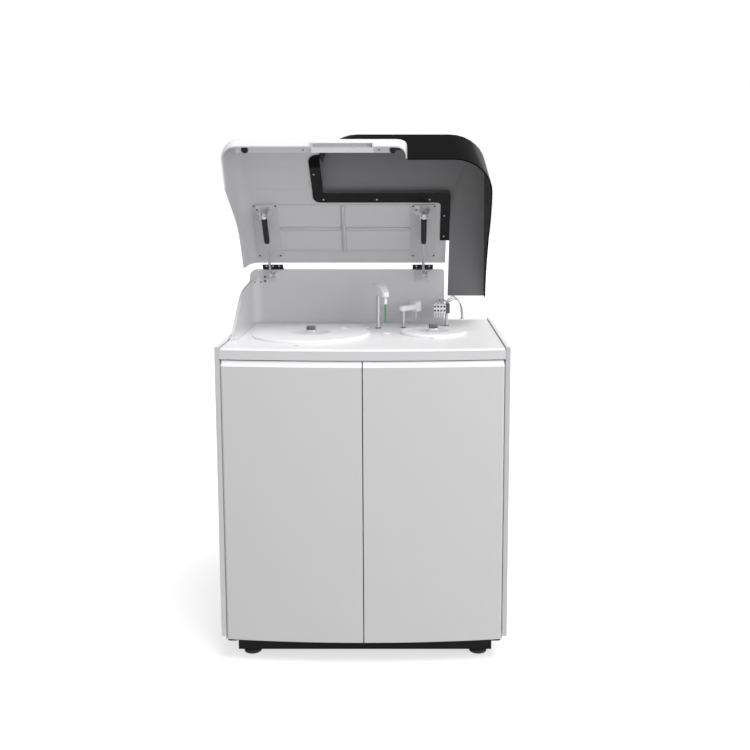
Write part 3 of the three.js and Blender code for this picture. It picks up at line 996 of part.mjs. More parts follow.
piece(lidBody, "lid_shell", lidShell(), WHITE_MOULDING);
piece(lidBody, "lid_hood", hood(), BLACK_GLOSS);
piece(lidBody, "lid_handle", handle(), WHITE_MOULDING);
for (const [name, x, hingeX, bumperX] of [["left", lidLeft + SPRING.leftInset, lidLeft + HINGE.leftInset, lidLeft + BUMPER.leftInset], ["right", SPRING.rightX, HINGE.rightX, BUMPER.rightX]]) {
  piece(lidBody, `bumper_${name}`, bumper(bumperX), BLACK_RUBBER);
  piece(ceiling, `hinge_moving_leaf_${name}`, movingLeaf(hingeX), BLACK_STEEL);
  piece(ceiling, `lift_plate_${name}`, liftPlate(x), BRIGHT_STEEL);
  piece(cabinet, `hinge_fixed_leaf_${name}`, fixedLeaf(hingeX), BLACK_STEEL);
  piece(cabinet, `spring_bracket_${name}`, springBracket(x), BRIGHT_STEEL);
  const spring = new THREE.Group();
  spring.position.set(0, SPRING.lowerY, SPRING.lowerZ);
  spring.rotation.x = Math.atan2(-springLine.x, springLine.y);
  cabinet.add(spring);
  piece(spring, `gas_spring_rod_${name}`, springRod(x), BRIGHT_STEEL);
  piece(spring, `gas_spring_tube_${name}`, springTube(x), BLACK_STEEL);
}

export default analyser;
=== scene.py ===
"""A floor-standing chemistry analyser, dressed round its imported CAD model.

Sizes are millimetres in the cabinet's own frame unless a line names another unit: X to the right, Y = 0 at
the front edge of the side panels, Z up from the floor. What rides on the lid is written with the lid closed
and then turned up.
"""

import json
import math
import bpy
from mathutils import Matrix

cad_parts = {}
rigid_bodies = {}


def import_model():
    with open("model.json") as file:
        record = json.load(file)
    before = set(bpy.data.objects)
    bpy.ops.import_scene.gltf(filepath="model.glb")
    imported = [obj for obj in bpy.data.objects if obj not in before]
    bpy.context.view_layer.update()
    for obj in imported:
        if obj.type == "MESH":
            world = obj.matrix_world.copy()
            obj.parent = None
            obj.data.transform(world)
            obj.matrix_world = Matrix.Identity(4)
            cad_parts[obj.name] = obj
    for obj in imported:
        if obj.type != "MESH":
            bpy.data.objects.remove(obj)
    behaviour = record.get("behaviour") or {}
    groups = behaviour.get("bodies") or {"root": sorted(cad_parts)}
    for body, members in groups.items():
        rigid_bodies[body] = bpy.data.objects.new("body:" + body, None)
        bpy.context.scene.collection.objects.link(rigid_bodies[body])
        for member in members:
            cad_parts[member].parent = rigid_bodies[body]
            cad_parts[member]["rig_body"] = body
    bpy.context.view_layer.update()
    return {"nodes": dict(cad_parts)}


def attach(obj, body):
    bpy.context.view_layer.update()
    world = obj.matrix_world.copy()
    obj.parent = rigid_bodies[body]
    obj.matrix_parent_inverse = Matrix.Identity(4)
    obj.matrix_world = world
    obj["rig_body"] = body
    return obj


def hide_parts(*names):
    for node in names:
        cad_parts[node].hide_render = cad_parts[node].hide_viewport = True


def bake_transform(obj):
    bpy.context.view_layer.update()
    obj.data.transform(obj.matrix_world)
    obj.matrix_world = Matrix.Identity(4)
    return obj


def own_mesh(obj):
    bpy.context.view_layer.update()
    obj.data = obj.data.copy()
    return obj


bl_info = {
    "name": "Floor-standing chemistry analyser",
    "version": (1, 0, 0),
    "blender": (4, 5, 0),
    "location": "3D View > Sidebar > Analyser",
    "description": "Builds the surfaces, finishes and studio of a chemistry analyser round its CAD frame",
    "category": "Object",
}

import bmesh
import bpy
import numpy as np
from bpy.props import FloatProperty, FloatVectorProperty, IntProperty, PointerProperty
from bpy.types import Operator, Panel, PropertyGroup
from mathutils import Vector
from mathutils.bvhtree import BVHTree

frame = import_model()

MM = 0.001
CABINET_SHIFT = -0.308  # the cabinet's Y = 0 in the row frame, in metres
SIDES = ((-1, "left"), (1, "right"))

HINGE_Y, HINGE_Z = 531.0, 1112.5
OPEN_ANGLE = math.radians(61.9)
CEILING_SLOPE = math.atan2(25.0, 260.0)  # the lid's flat rear ceiling, forward of the hinge
RIM_Z = 931.0  # the closed lid's lower rim
DECK_TOP = 930.0
BOW = 24.0  # how far the doors and the worktop bulge forward
BOW_RADIUS = (402.0**2 + BOW**2) / (2 * BOW)

WELD = 2e-6  # points nearer than this are one point, in metres
FLAT_ANGLE = math.radians(0.4)  # CAD facets that meet at less than this are one face


def linear(colour):
    """An sRGB hex colour as linear red, green and blue."""
    parts = np.array([int(colour[i : i + 2], 16) for i in (1, 3, 5)]) / 255
    return tuple(np.where(parts <= 0.04045, parts / 12.92, ((parts + 0.055) / 1.055) ** 2.4))


# Places and frames


def row(points):
    """Cabinet millimetres to row metres: scaled, and moved back along Y."""
    out = np.array(points, float) * MM
    out[..., 1] += CABINET_SHIFT
    return out


def as_is(points):
    """Points that are in row metres already."""
    return points


def on_deck(points):
    """Points whose height is counted from the worktop's top."""
    return row(points + np.array([0, 0, DECK_TOP]))


def swung(points, angle, y=HINGE_Y, z=HINGE_Z):
    """Points turned by an angle a about a line along X. With f forward of the line and h above it, a point
    comes to f cos a - h sin a and f sin a + h cos a."""
    out = np.array(points, float)
    ahead, up = y - out[..., 1], out[..., 2] - z
    out[..., 1] = y - (ahead * math.cos(angle) - up * math.sin(angle))
    out[..., 2] = z + ahead * math.sin(angle) + up * math.cos(angle)
    return out


def raised(points):
    """Closed-lid millimetres to row metres on the open lid."""
    return row(swung(points, OPEN_ANGLE))


def on_ceiling(points):
    """Points [x, distance forward of the hinge, depth below the lid's flat rear ceiling] on the open lid."""
    x, ahead, depth = np.moveaxis(np.array(points, float), -1, 0)
    return raised(swung(np.stack([x, HINGE_Y - ahead, HINGE_Z - depth], -1), -CEILING_SLOPE))


def lowered(points):
    """Row metres on the open lid back to closed-lid millimetres, the reverse of raised."""
    out = np.array(points, float)
    out[..., 1] -= CABINET_SHIFT
    return swung(out / MM, -OPEN_ANGLE)


def lowered_normals(normals):
    """Directions on the open lid turned back with it."""
    return swung(normals, -OPEN_ANGLE, 0, 0)


def lid_inside(y):
    """Height of the lid's inner surface over the closed lid's depth: brow, two breaks, ridge and hinge."""
    return np.interp(y, [16, 118, 218, 271, 508], [991.2, 1039.5, 1082.5, 1091.5, 1114.3]) - 4.2


def bow_line(x):
    """Front of the bowed doors and worktop: an arc through the corners, the bow proud in the middle."""
    return BOW_RADIUS - BOW - np.sqrt(BOW_RADIUS**2 - np.asarray(x, float) ** 2)


def about(centre, reach, degrees):
    """A point at a reach and angle from a centre."""
    angle = math.radians(degrees)
    return (centre[0] + reach * math.cos(angle), centre[1] + reach * math.sin(angle))


# Surfaces: each is (points, faces)


def circle(sides):
    """Angles evenly round a circle."""
    return np.linspace(0, 2 * np.pi, sides, endpoint=False)


def unit(vectors):
    """Vectors brought to a length of 1."""
    return vectors / np.maximum(np.linalg.norm(vectors, axis=-1, keepdims=True), 1e-9)


def grid(points, closed=False):
    """Four-sided faces over rings of points [ring, place]. closed joins the last ring to the first."""
    rings, places = points.shape[:2]
    index = np.arange(rings * places).reshape(rings, places)
    if closed:
        index = np.vstack([index, index[:1]])
    index = np.hstack([index, index[:, :1]])
    faces = np.stack([index[:-1, :-1], index[:-1, 1:], index[1:, 1:], index[1:, :-1]], -1)
    return points.reshape(-1, 3), [list(f) for f in faces.reshape(-1, 4)]


def joined(*surfaces):
    """Several surfaces as one."""
    points, faces, start = [], [], 0
    for p, f in surfaces:
        points.append(np.asarray(p, float).reshape(-1, 3))
        faces += [[int(i) + start for i in face] for face in f]
        start += len(points[-1])
    return np.vstack(points), faces


def stacked(outlines, heights):
    """Flat outlines [u, v], each at its height w, as rings of points [u, v, w]."""
    return np.stack([np.column_stack([ring, np.full(len(ring), h)]) for ring, h in zip(outlines, heights)])


def swept(rings):
    """A closed shell through rings of points, with a flat face over the first and the last."""
    index = list(range(rings.shape[1]))
    return joined(grid(rings), (rings[0][::-1], [index]), (rings[-1], [index]))


def rings_round(middles, radii, first, second, sides, closed=False):
    """Circles round a row of middles m, on two axes across the row: m + r (first cos a + second sin a)."""
    angle = circle(sides)[None, :, None]
    across = np.cos(angle) * first + np.sin(angle) * second
    middles, radii = np.asarray(middles, float)[:, None], np.asarray(radii, float)[:, None, None]
    return grid(middles + radii * across, closed)


def turned(profile, centre, sides, closed=False):
    """A profile of [radius, height] turned about an upright axis. A closed profile gives a ring."""
    radii, heights = np.asarray(profile, float).T
    middles = [(*centre, height) for height in heights]
    return rings_round(middles, radii, np.array([1, 0, 0]), np.array([0, 1, 0]), sides, closed)


def turned_along(profile, start, axis, sides):
    """A profile of [radius, distance] turned about any axis, from start on."""
    axis = unit(np.asarray(axis, float))
    side = unit(np.cross(axis, (0.31, 0.52, 0.79) if abs(axis[2]) < 0.9 else (0.9, 0.3, 0.1)))
    radii, along = np.asarray(profile, float).T
    middles = np.asarray(start, float) + axis * along[:, None]
    return rings_round(middles, radii, side, np.cross(axis, side), sides)


def cylinder(centre, radius, low, high, sides):
    """A closed upright cylinder."""
    return turned([[0, low], [radius, low], [radius, high], [0, high]], centre, sides)


def tube(path, radius, sides):
    """A round tube along a path, closed at its ends, on the axes n = up x t and t x n of its tangent t."""
    path = np.asarray(path, float)
    tangent = unit(np.gradient(path, axis=0))
    first = unit(np.cross((0.02, 0.03, 1.0), tangent))
    second = np.cross(tangent, first)
    ends = [0, *range(len(path)), len(path) - 1]
    radii = [0, *[radius] * len(path), 0]
    return rings_round(path[ends], radii, first[ends][:, None], second[ends][:, None], sides)


def smooth_path(points, count):
    """A Catmull-Rom curve through points, sampled evenly in its parameter."""
    p = np.asarray(points, float)
    p = np.vstack([2 * p[0] - p[1], p, 2 * p[-1] - p[-2]])
    t = np.linspace(0, len(points) - 1 - 1e-9, count)
    k = t.astype(int)
    u = (t - k)[:, None]
    a, b, c, d = p[k], p[k + 1], p[k + 2], p[k + 3]
    return 0.5 * (2 * b + (c - a) * u + (2 * a - 5 * b + 4 * c - d) * u**2 + (3 * b - a - 3 * c + d) * u**3)


def ring_inset(ring, amount):
    """A closed outline moved inwards along its own corner normals; ring runs counter-clockwise."""
    ahead, back = unit(np.roll(ring, -1, 0) - ring), unit(ring - np.roll(ring, 1, 0))
    normal = unit(np.stack([-(ahead + back)[:, 1], (ahead + back)[:, 0]], -1))
    reach = np.maximum((normal * np.stack([-ahead[:, 1], ahead[:, 0]], -1)).sum(1), 0.4)
    return ring + normal * (amount / reach)[:, None]


def rounded_box(x0, x1, y0, y1, radius, steps):
    """A rectangle's outline with round corners, counter-clockwise."""
    radius = min(radius, (x1 - x0) / 2 - 1e-3, (y1 - y0) / 2 - 1e-3)
    angle = np.linspace(0, np.pi / 2, steps + 1)
    left, right, front, rear = x0 + radius, x1 - radius, y0 + radius, y1 - radius
    corners = ((right, front, -1), (right, rear, 0), (left, rear, 1), (left, front, 2))
    turns = [(x, y, angle + k * np.pi / 2) for x, y, k in corners]
    return np.vstack([np.column_stack([x + radius * np.cos(a), y + radius * np.sin(a)]) for x, y, a in turns])


def pillow(outline, low, high, edge, steps):
    """An outline swept upwards from low to high, with both its edges rounded by a quarter circle."""
    angle = np.linspace(0, np.pi / 2, steps + 1)
    insets = np.concatenate([edge * (1 - np.sin(angle)), edge * (1 - np.cos(angle))])
    heights = np.concatenate([low + edge * (1 - np.cos(angle)), high - edge * (1 - np.sin(angle))])
    return swept(stacked([ring_inset(outline, i) for i in insets], heights))


def slab(x0, x1, y0, y1, z0, z1, corner=2.0, edge=0.8):
    """A plate or block with round upright corners and softened edges; x0 and x1 come in either order."""
    return pillow(rounded_box(min(x0, x1), max(x0, x1), y0, y1, corner, 4), z0, z1, edge, 3)


# Pieces


def clean_mesh(mesh, from_cad=False):
    """Merges doubled points. Then joins a CAD copy's flat neighbours, or turns a new shell's faces out."""
    made = bmesh.new()
    made.from_mesh(mesh)
    bmesh.ops.remove_doubles(made, verts=made.verts, dist=WELD)
    if from_cad:
        parts = {"verts": made.verts, "edges": made.edges}
        bmesh.ops.dissolve_limit(made, angle_limit=FLAT_ANGLE, delimit={"NORMAL"}, **parts)
    else:
        bmesh.ops.recalc_face_normals(made, faces=made.faces)
    made.to_mesh(mesh)
    made.free()


def new_mesh(name, points, faces):
    mesh = bpy.data.meshes.new(name)
    mesh.from_pydata(np.asarray(points, float).tolist(), [], faces)
    return mesh


def new_object(name, data):
    made = bpy.data.objects.new(name, data)
    bpy.context.scene.collection.objects.link(made)
    return made


def new_piece(name, mesh, finish, body, smooth_angle):
    """An object of one finish, smooth up to an angle, that rides on a body."""
    piece = new_object(name, mesh)
    mesh.materials.append(finish_of(finish))
    mesh.shade_smooth()
    mesh.set_sharp_from_angle(angle=math.radians(smooth_angle))
    if body:
        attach(piece, body)
    return piece


def make_piece(name, surface, finish, body, node, stands=False, place=row, smooth_angle=35):
    """A new piece from one surface or several. It belongs to a CAD node, and stands for it if it says so."""
    points, faces = surface if isinstance(surface, tuple) else joined(*surface)
    mesh = new_mesh(name, place(points), faces)
    clean_mesh(mesh)
    piece = new_piece(name, mesh, finish, body, smooth_angle)
    if stands:
        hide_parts(node)
    return piece


def make_parts(prefix, parts, body, node, main=None, place=row):
    """Pieces of one CAD node. Each part is its name, its surface or surfaces and its finish."""
    for part, surface, finish in parts:
        make_piece(f"{prefix}_{part}", surface, finish, body, node, part == main, place)


def dress_node(node, finish, bevel=0.8, smooth_angle=35):
    """A cleaned copy of a CAD node, with a live bevel on its edges, which stands for the node."""
    source = frame["nodes"][node]
    mesh = source.data.copy()
    mesh.name = f"{node}_surface"
    mesh.materials.clear()
    clean_mesh(mesh, from_cad=True)
    piece = new_piece(mesh.name, mesh, finish, source["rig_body"], smooth_angle)
    soften = piece.modifiers.new("Edge", "BEVEL")
    soften.width = bevel * MM
    soften.segments = 2
    soften.limit_method = "ANGLE"
    soften.angle_limit = math.radians(smooth_angle)
    soften.harden_normals = True
    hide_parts(node)
    return piece


def paint_faces(piece, *rules):
    """Gives some faces another finish. A rule is a finish and a test of the faces' centres and normals in the
    row frame; where two rules want a face, the later one has it."""
    mesh = piece.data
    count = len(mesh.polygons)
    centres, normals = np.empty(count * 3), np.empty(count * 3)
    mesh.polygons.foreach_get("center", centres)
    mesh.polygons.foreach_get("normal", normals)
    slots = np.zeros(count, int)
    for finish, test in rules:
        mesh.materials.append(finish_of(finish))
        slots[test(centres.reshape(-1, 3), normals.reshape(-1, 3))] = len(mesh.materials) - 1
    mesh.polygons.foreach_set("material_index", slots)


def carve(surface, *cutters):
    """A closed surface with others cut out of it."""
    shells = []
    for points, faces in (surface, *cutters):
        mesh = new_mesh("carve", points, faces)
        clean_mesh(mesh)
        shells.append(new_object("carve", mesh))
    for tool in shells[1:]:
        cut = shells[0].modifiers.new("cut", "BOOLEAN")
        cut.operation = "DIFFERENCE"
        cut.solver = "EXACT"
        cut.object = tool
    result = bpy.data.meshes.new_from_object(shells[0].evaluated_get(bpy.context.evaluated_depsgraph_get()))
    points = np.array([v.co for v in result.vertices], float)
    faces = [list(f.vertices) for f in result.polygons]
    for shell in shells:
        bpy.data.objects.remove(shell)
    bpy.data.meshes.remove(result)
    return points, faces


SCREW_HEAD = [  # radius and height, as shares of the head's radius
    [0, 0.15], [0.42, 0.15], [0.46, 0.5], [0.7, 0.46], [0.93, 0.28], [1, 0.1], [1, -0.05], [0, -0.05],
]


def screws(name, places, axes, radius, finish, body, node, place=row, dome=1.0):
    """Button-head screws with a socket: a dome over the head radius with a sunk middle, one per place."""
    profile = np.asarray(SCREW_HEAD) * [radius, radius * dome]
    axes = np.broadcast_to(np.asarray(axes, float), (len(places), 3))
    heads = [turned_along(profile, start, axis, 16) for start, axis in zip(places, axes)]
    return make_piece(name, heads, finish, body, node, place=place, smooth_angle=40)


# Finishes


def feed(tree, node, inputs):
    """Sets a node's sockets, and links what is given as a socket."""
    for key, value in inputs.items():
        if isinstance(value, bpy.types.NodeSocket):
            tree.links.new(value, node.inputs[key])
        else:
            node.inputs[key].default_value = value


def add_node(tree, kind, inputs, **settings):
    """Adds a node, sets its properties and feeds its sockets."""
    made = tree.nodes.new(kind)
    for key, value in settings.items():
        setattr(made, key, value)
    feed(tree, made, inputs)
    return made


class Finish:
    """A material in the making: a Principled shader, and patterns in the piece's own coordinates."""

    def __init__(self, name, colour, roughness, metallic=0.0, ior=1.5, specular=0.5):
        self.material = bpy.data.materials.new(name)
        self.material.use_nodes = True
        self.tree = self.material.node_tree
        self.colour = colour
        self.where = add_node(self.tree, "ShaderNodeTexCoord", {}).outputs["Object"]
        self.shade({"Base Color": (*colour, 1), "Roughness": roughness, "Metallic": metallic})
        self.shade({"IOR": ior, "Specular IOR Level": specular})

    def shade(self, inputs):
        feed(self.tree, self.tree.nodes["Principled BSDF"], inputs)

    def noise(self, size, detail):
        """Soft noise from 0 to 1 in patches of a size in millimetres."""
        inputs = {"Vector": self.where, "Scale": 1 / (size * MM), "Detail": detail}
        return add_node(self.tree, "ShaderNodeTexNoise", inputs).outputs["Fac"]

    def cells(self, size):
        """Voronoi cells of a size in millimetres."""
        inputs = {"Vector": self.where, "Scale": 1 / (size * MM)}
        return add_node(self.tree, "ShaderNodeTexVoronoi", inputs).outputs

    def vary_colour(self, share, darker, lighter):
        """Base colour between two multiples of itself, as the share says."""
        low = (*[c * darker for c in self.colour], 1)
        high = (*[min(c * lighter, 1.0) for c in self.colour], 1)
        mix = add_node(self.tree, "ShaderNodeMix", {"Factor": share, "A": low, "B": high}, data_type="RGBA")
        self.shade({"Base Color": mix.outputs["Result"]})

    def vary_roughness(self, share, low, high):
        """Roughness between two values, as the share says."""
        span = add_node(self.tree, "ShaderNodeMapRange", {"Value": share, "To Min": low, "To Max": high})
        self.shade({"Roughness": span.outputs["Result"]})

    def bump(self, height, strength, depth):
        """Bump from a height, as deep as depth in millimetres."""
        inputs = {"Height": height, "Strength": strength, "Distance": depth * MM}
        self.shade({"Normal": add_node(self.tree, "ShaderNodeBump", inputs).outputs["Normal"]})


def powder_coat(name, colour, grain=1.6, specular=0.5):
    """Powder-coated steel, sprayed and baked: satin, with the fine orange peel of the melt."""
    made = Finish(name, colour, 0.42, specular=specular)
    made.vary_colour(made.noise(90, 3.0), 0.988, 1.012)
    made.vary_roughness(made.noise(40, 4.0), 0.36, 0.48)
    made.bump(made.noise(grain, 2.0), 0.12, 0.05)
    return made.material


def moulded_abs(name, colour, roughness=0.34, specular=0.5):
    """Injection-moulded ABS with a spark-eroded satin grain: soft gloss, very fine pits."""
    made = Finish(name, colour, roughness, ior=1.53, specular=specular)
    made.vary_colour(made.noise(120, 3.0), 0.99, 1.01)
    made.vary_roughness(made.noise(25, 4.0), roughness - 0.04, roughness + 0.06)
    made.bump(made.cells(0.8)["Distance"], 0.08, 0.03)
    return made.material


def gloss_abs(name, colour):
    """Polished-tool gloss plastic: deep black with a sharp skin and a long, faint waviness from the mould."""
    made = Finish(name, colour, 0.1, ior=1.54, specular=0.02)
    made.vary_roughness(made.noise(60, 4.0), 0.07, 0.16)
    made.bump(made.noise(70, 1.0), 0.15, 0.4)
    return made.material


def rubber(name, colour):
    """Moulded or extruded rubber: dull, slightly dusty, with a soft fine grain."""
    made = Finish(name, colour, 0.82)
    made.vary_colour(made.noise(6, 3.0), 0.85, 1.15)
    made.bump(made.noise(0.9, 4.0), 0.3, 0.08)
    return made.material


def brushed_metal(name, colour, roughness, along="X", pitch=0.5):
    """Brushed metal: scratches a few tenths of a millimetre wide drawn out forty times along the brushing."""
    made = Finish(name, colour, roughness, metallic=1.0)
    stretch = {"X": (0.025, 1, 1), "Y": (1, 0.025, 1), "Z": (1, 1, 0.025)}[along]
    mapping = add_node(made.tree, "ShaderNodeMapping", {"Vector": made.where, "Scale": stretch})
    made.where = mapping.outputs["Vector"]
    lines = made.noise(pitch, 3.0)
    made.vary_roughness(lines, roughness - 0.08, roughness + 0.12)
    made.bump(lines, 0.12, 0.03)
    return made.material


def galvanised_steel(name, colour):
    """Hot-dip galvanised sheet: grey zinc crystals, each a few millimetres across and a little brighter or
    duller."""
    made = Finish(name, colour, 0.45, metallic=0.85)
    grey = add_node(made.tree, "ShaderNodeSeparateColor", {"Color": made.cells(9)["Color"]})
    made.vary_colour(grey.outputs["Red"], 0.82, 1.1)
    made.vary_roughness(grey.outputs["Green"], 0.36, 0.55)
    return made.material


def clear_plastic(name, colour, roughness, through):
    """Clear or natural plastic, or glass: light passes part of the way."""
    made = Finish(name, colour, roughness, ior=1.49)
    made.shade({"Transmission Weight": through})
    made.vary_roughness(made.noise(12, 4.0), roughness - 0.05, roughness + 0.1)
    return made.material


# Each finish: maker, material's name, a colour or the name of one in AnalyserFinishes, then settings
FINISHES = {
    # Steel, powder-coated
    "door": (powder_coat, "powder_coated_steel_doors", "door_grey"),
    # Painted highlight: the doors' top band is made near white to stand in for the light caught by the rolled
    # top edge
    "door_edge": (powder_coat, "powder_coated_steel_door_edges", "#FAFAFA"),
    "panel": (powder_coat, "powder_coated_steel_panels", "panel_grey"),
    "fascia": (powder_coat, "powder_coated_steel_strip", "fascia_grey"),
    "plinth": (powder_coat, "powder_coated_steel_plinth", "plinth_black", 1.2, 0.25),
    "plate": (powder_coat, "powder_coated_steel_lift_plates", "#C2C2C4"),
    "bracket_paint": (powder_coat, "powder_coated_steel_brackets", "#DCDCDE"),
    "black_steel": (powder_coat, "painted_steel_black", "#171718", 1.0, 0.4),
    # Plastic, injection-moulded
    "worktop": (moulded_abs, "moulded_abs_worktop", "worktop_white", 0.3),
    "seam": (moulded_abs, "moulded_abs_grey_marks", "#B5B6B8", 0.45),
    "trim": (moulded_abs, "moulded_abs_edge_trim", "#F4F4F4", 0.4),
    # Pale grey: the mixer head's cap, and the covers' recesses, where the grey is painted shade
    "recess": (moulded_abs, "moulded_abs_recess", "#DCDCDE", 0.4),
    "upstand": (moulded_abs, "moulded_abs_upstand", "upstand_grey", 0.38),
    "lid": (moulded_abs, "moulded_abs_lid", "lid_white"),
    # Painted shade: the lid's inside is the same white moulding as the outside, made grey for the shade under
    # the raised lid
    "lid_inside": (moulded_abs, "moulded_abs_lid_inside", "lid_grey", 0.48),
    "arm": (moulded_abs, "moulded_abs_arms", "#F0F0F0", 0.3),
    "hood": (gloss_abs, "gloss_abs_hood", "hood_black"),
    "hood_inside": (moulded_abs, "moulded_abs_hood_inside", "hood_grey", 0.55),
    # Painted shade: the hood's right inner wall, which faces away from the lights, is painted darker than the
    # rest of its inside
    "hood_side": (moulded_abs, "moulded_abs_hood_side", "#5F5F61", 0.5),
    "flange": (moulded_abs, "moulded_abs_flange", "#0E0E0F", 0.45, 0.2),
    "black_plastic": (moulded_abs, "moulded_abs_black", "#1E1E1F", 0.42),
    "grey_plastic": (moulded_abs, "moulded_abs_dark_grey", "#5E5F61", 0.42),
    "rotor": (moulded_abs, "moulded_abs_rotor", "#B9BBBE", 0.36),
    "green": (moulded_abs, "dyed_polyamide_green", "#3E8A55", 0.3),
    "cap_blue": (moulded_abs, "moulded_polyethylene_blue_cap", "#2C5F95", 0.4),
    "cap_red": (moulded_abs, "moulded_polyethylene_red_cap", "#9C3431", 0.4),
    # Plastic and glass that let light through
    "cup": (clear_plastic, "clear_polystyrene_cups", "#EEF2F4", 0.12, 0.6),
    "tank": (clear_plastic, "natural_polyethylene_tank", "#E9ECEE", 0.4, 0.12),
    "glass": (clear_plastic, "borosilicate_glass_barrels", "#F2F6F7", 0.05, 0.8),
    "hose": (clear_plastic, "clear_pvc_hose", "#C9CBCD", 0.25, 0.2),
    # Rubber and foam
    "rubber": (rubber, "moulded_rubber", "#171717"),
    "seal": (rubber, "extruded_rubber_door_seal", "#C2C2C4"),
    "foot": (rubber, "moulded_rubber_feet", "#484849"),
    "foam": (rubber, "closed_cell_foam_gasket", "#2B2B2C"),
    # Bare, plated or anodised metal
    "steel": (brushed_metal, "brushed_stainless_steel", "#C9CBCD", 0.3, "Z"),
    "screw": (brushed_metal, "zinc_plated_screws", "#DADBDC", 0.34, "X", 0.3),
    "dark_screw": (brushed_metal, "blackened_screws", "#3A3B3D", 0.42, "X", 0.3),
    "bracket": (brushed_metal, "zinc_plated_brackets", "#E2E3E4", 0.36),
    "chrome": (brushed_metal, "chromed_steel_rod", "#D9DBDE", 0.14, "Z", 0.8),
    "aluminium": (brushed_metal, "milled_aluminium", "#C9CBCE", 0.4, "Y"),
    "bright": (brushed_metal, "polished_aluminium_knob_foot", "#F0F1F2", 0.3),
    "knob": (brushed_metal, "anodised_aluminium_knob", "#77787A", 0.36),
    "zinc": (galvanised_steel, "galvanised_steel_sheet", "#A9ACAE"),
}
MATERIALS = {}


def finish_of(key):
    """A finish's material, made once."""
    if key not in MATERIALS:
        maker, name, colour, *settings = FINISHES[key]
        chosen = linear(colour) if colour[0] == "#" else getattr(bpy.context.scene.analyser_finishes, colour)
        MATERIALS[key] = maker(name, tuple(chosen), *settings)
    return MATERIALS[key]


def colour_property(colour, words):
    return FloatVectorProperty(
        name=words, description=f"Colour of: {words.lower()}", subtype="COLOR", size=3, min=0, max=1,
        default=linear(colour),
    )


def number_property(words, description, default, **settings):
    return FloatProperty(name=words, description=description, default=default, **settings)


class AnalyserFinishes(PropertyGroup):
    door_grey: colour_property("#CDCDCE", "Door paint")
    panel_grey: colour_property("#C6C6C8", "Side panel paint")
    fascia_grey: colour_property("#D6D6D8", "Strip under the worktop")
    worktop_white: colour_property("#F5F5F6", "Worktop and covers")
    upstand_grey: colour_property("#D0D0D2", "Upstand and wing")
    lid_white: colour_property("#EBEBEC", "Lid shell outside")
    # Painted shade: grey that stands in for the shade on the white lid's inside
    lid_grey: colour_property("#C8C8CA", "Lid shell inside")
    hood_black: colour_property("#0F0F10", "Hood outside")
    hood_grey: colour_property("#767678", "Hood inside")
    plinth_black: colour_property("#1B1B1C", "Plinth")


class AnalyserStudio(PropertyGroup):
    camera_place: FloatVectorProperty(
        name="Camera place", description="Where the camera stands", subtype="TRANSLATION", unit="LENGTH",
        default=(0.1247, -2.9088, 1.3617),
    )
    camera_tilt: number_property(
        "Camera tilt", "How far the camera looks down", 0.12903, subtype="ANGLE", unit="ROTATION"
    )
    camera_lens: number_property("Lens", "Focal length on a 36 mm sensor", 45.217, unit="CAMERA")
    camera_shift: FloatVectorProperty(
        name="Lens shift", description="Sideways and upward shift, as shares of the frame", size=2,
        default=(-0.0427, -0.08),
    )
    world_light: number_property("World light", "Strength of the even light from all round", 0.36)
    world_gloss: number_property("World gloss", "Brightness of what shiny pieces reflect", 0.5)
    key_light: number_property("Key light", "Strength of the soft light from above the front", 2.3)
    fill_light: number_property("Fill light", "Strength of the level light from the front right", 1.75)
    floor_glow: number_property("Floor glow", "Light added to the floor that the camera sees", 0.65)


class AnalyserSizes(PropertyGroup):
    door_stiffener: number_property("Door stiffener", "Width of a channel inside a door, mm", 38.0)
    rib_height: number_property("Lid rib", "Height of the ribs inside the lid, mm", 4.6)
    hose_radius: number_property("Hose radius", "Outer radius of a wash hose, mm", 1.9)
    louvre_pitch: number_property("Louvre pitch", "Distance between vent slots, mm", 20.0)
    cup_count: IntProperty(name="Outer cups", description="Sample cups in the outer ring", default=24)


# Operators


class Step:
    """What all the operators have in common."""

    bl_options = {"REGISTER", "UNDO"}


SENSOR = 36.0
FLOOR_GREY, FLOOR_DROP = 0.52, 0.0005  # the floor lies half a millimetre below the feet
FLOOR_RADII = (0.001, 2.0, 8.0, 30.0)  # in metres


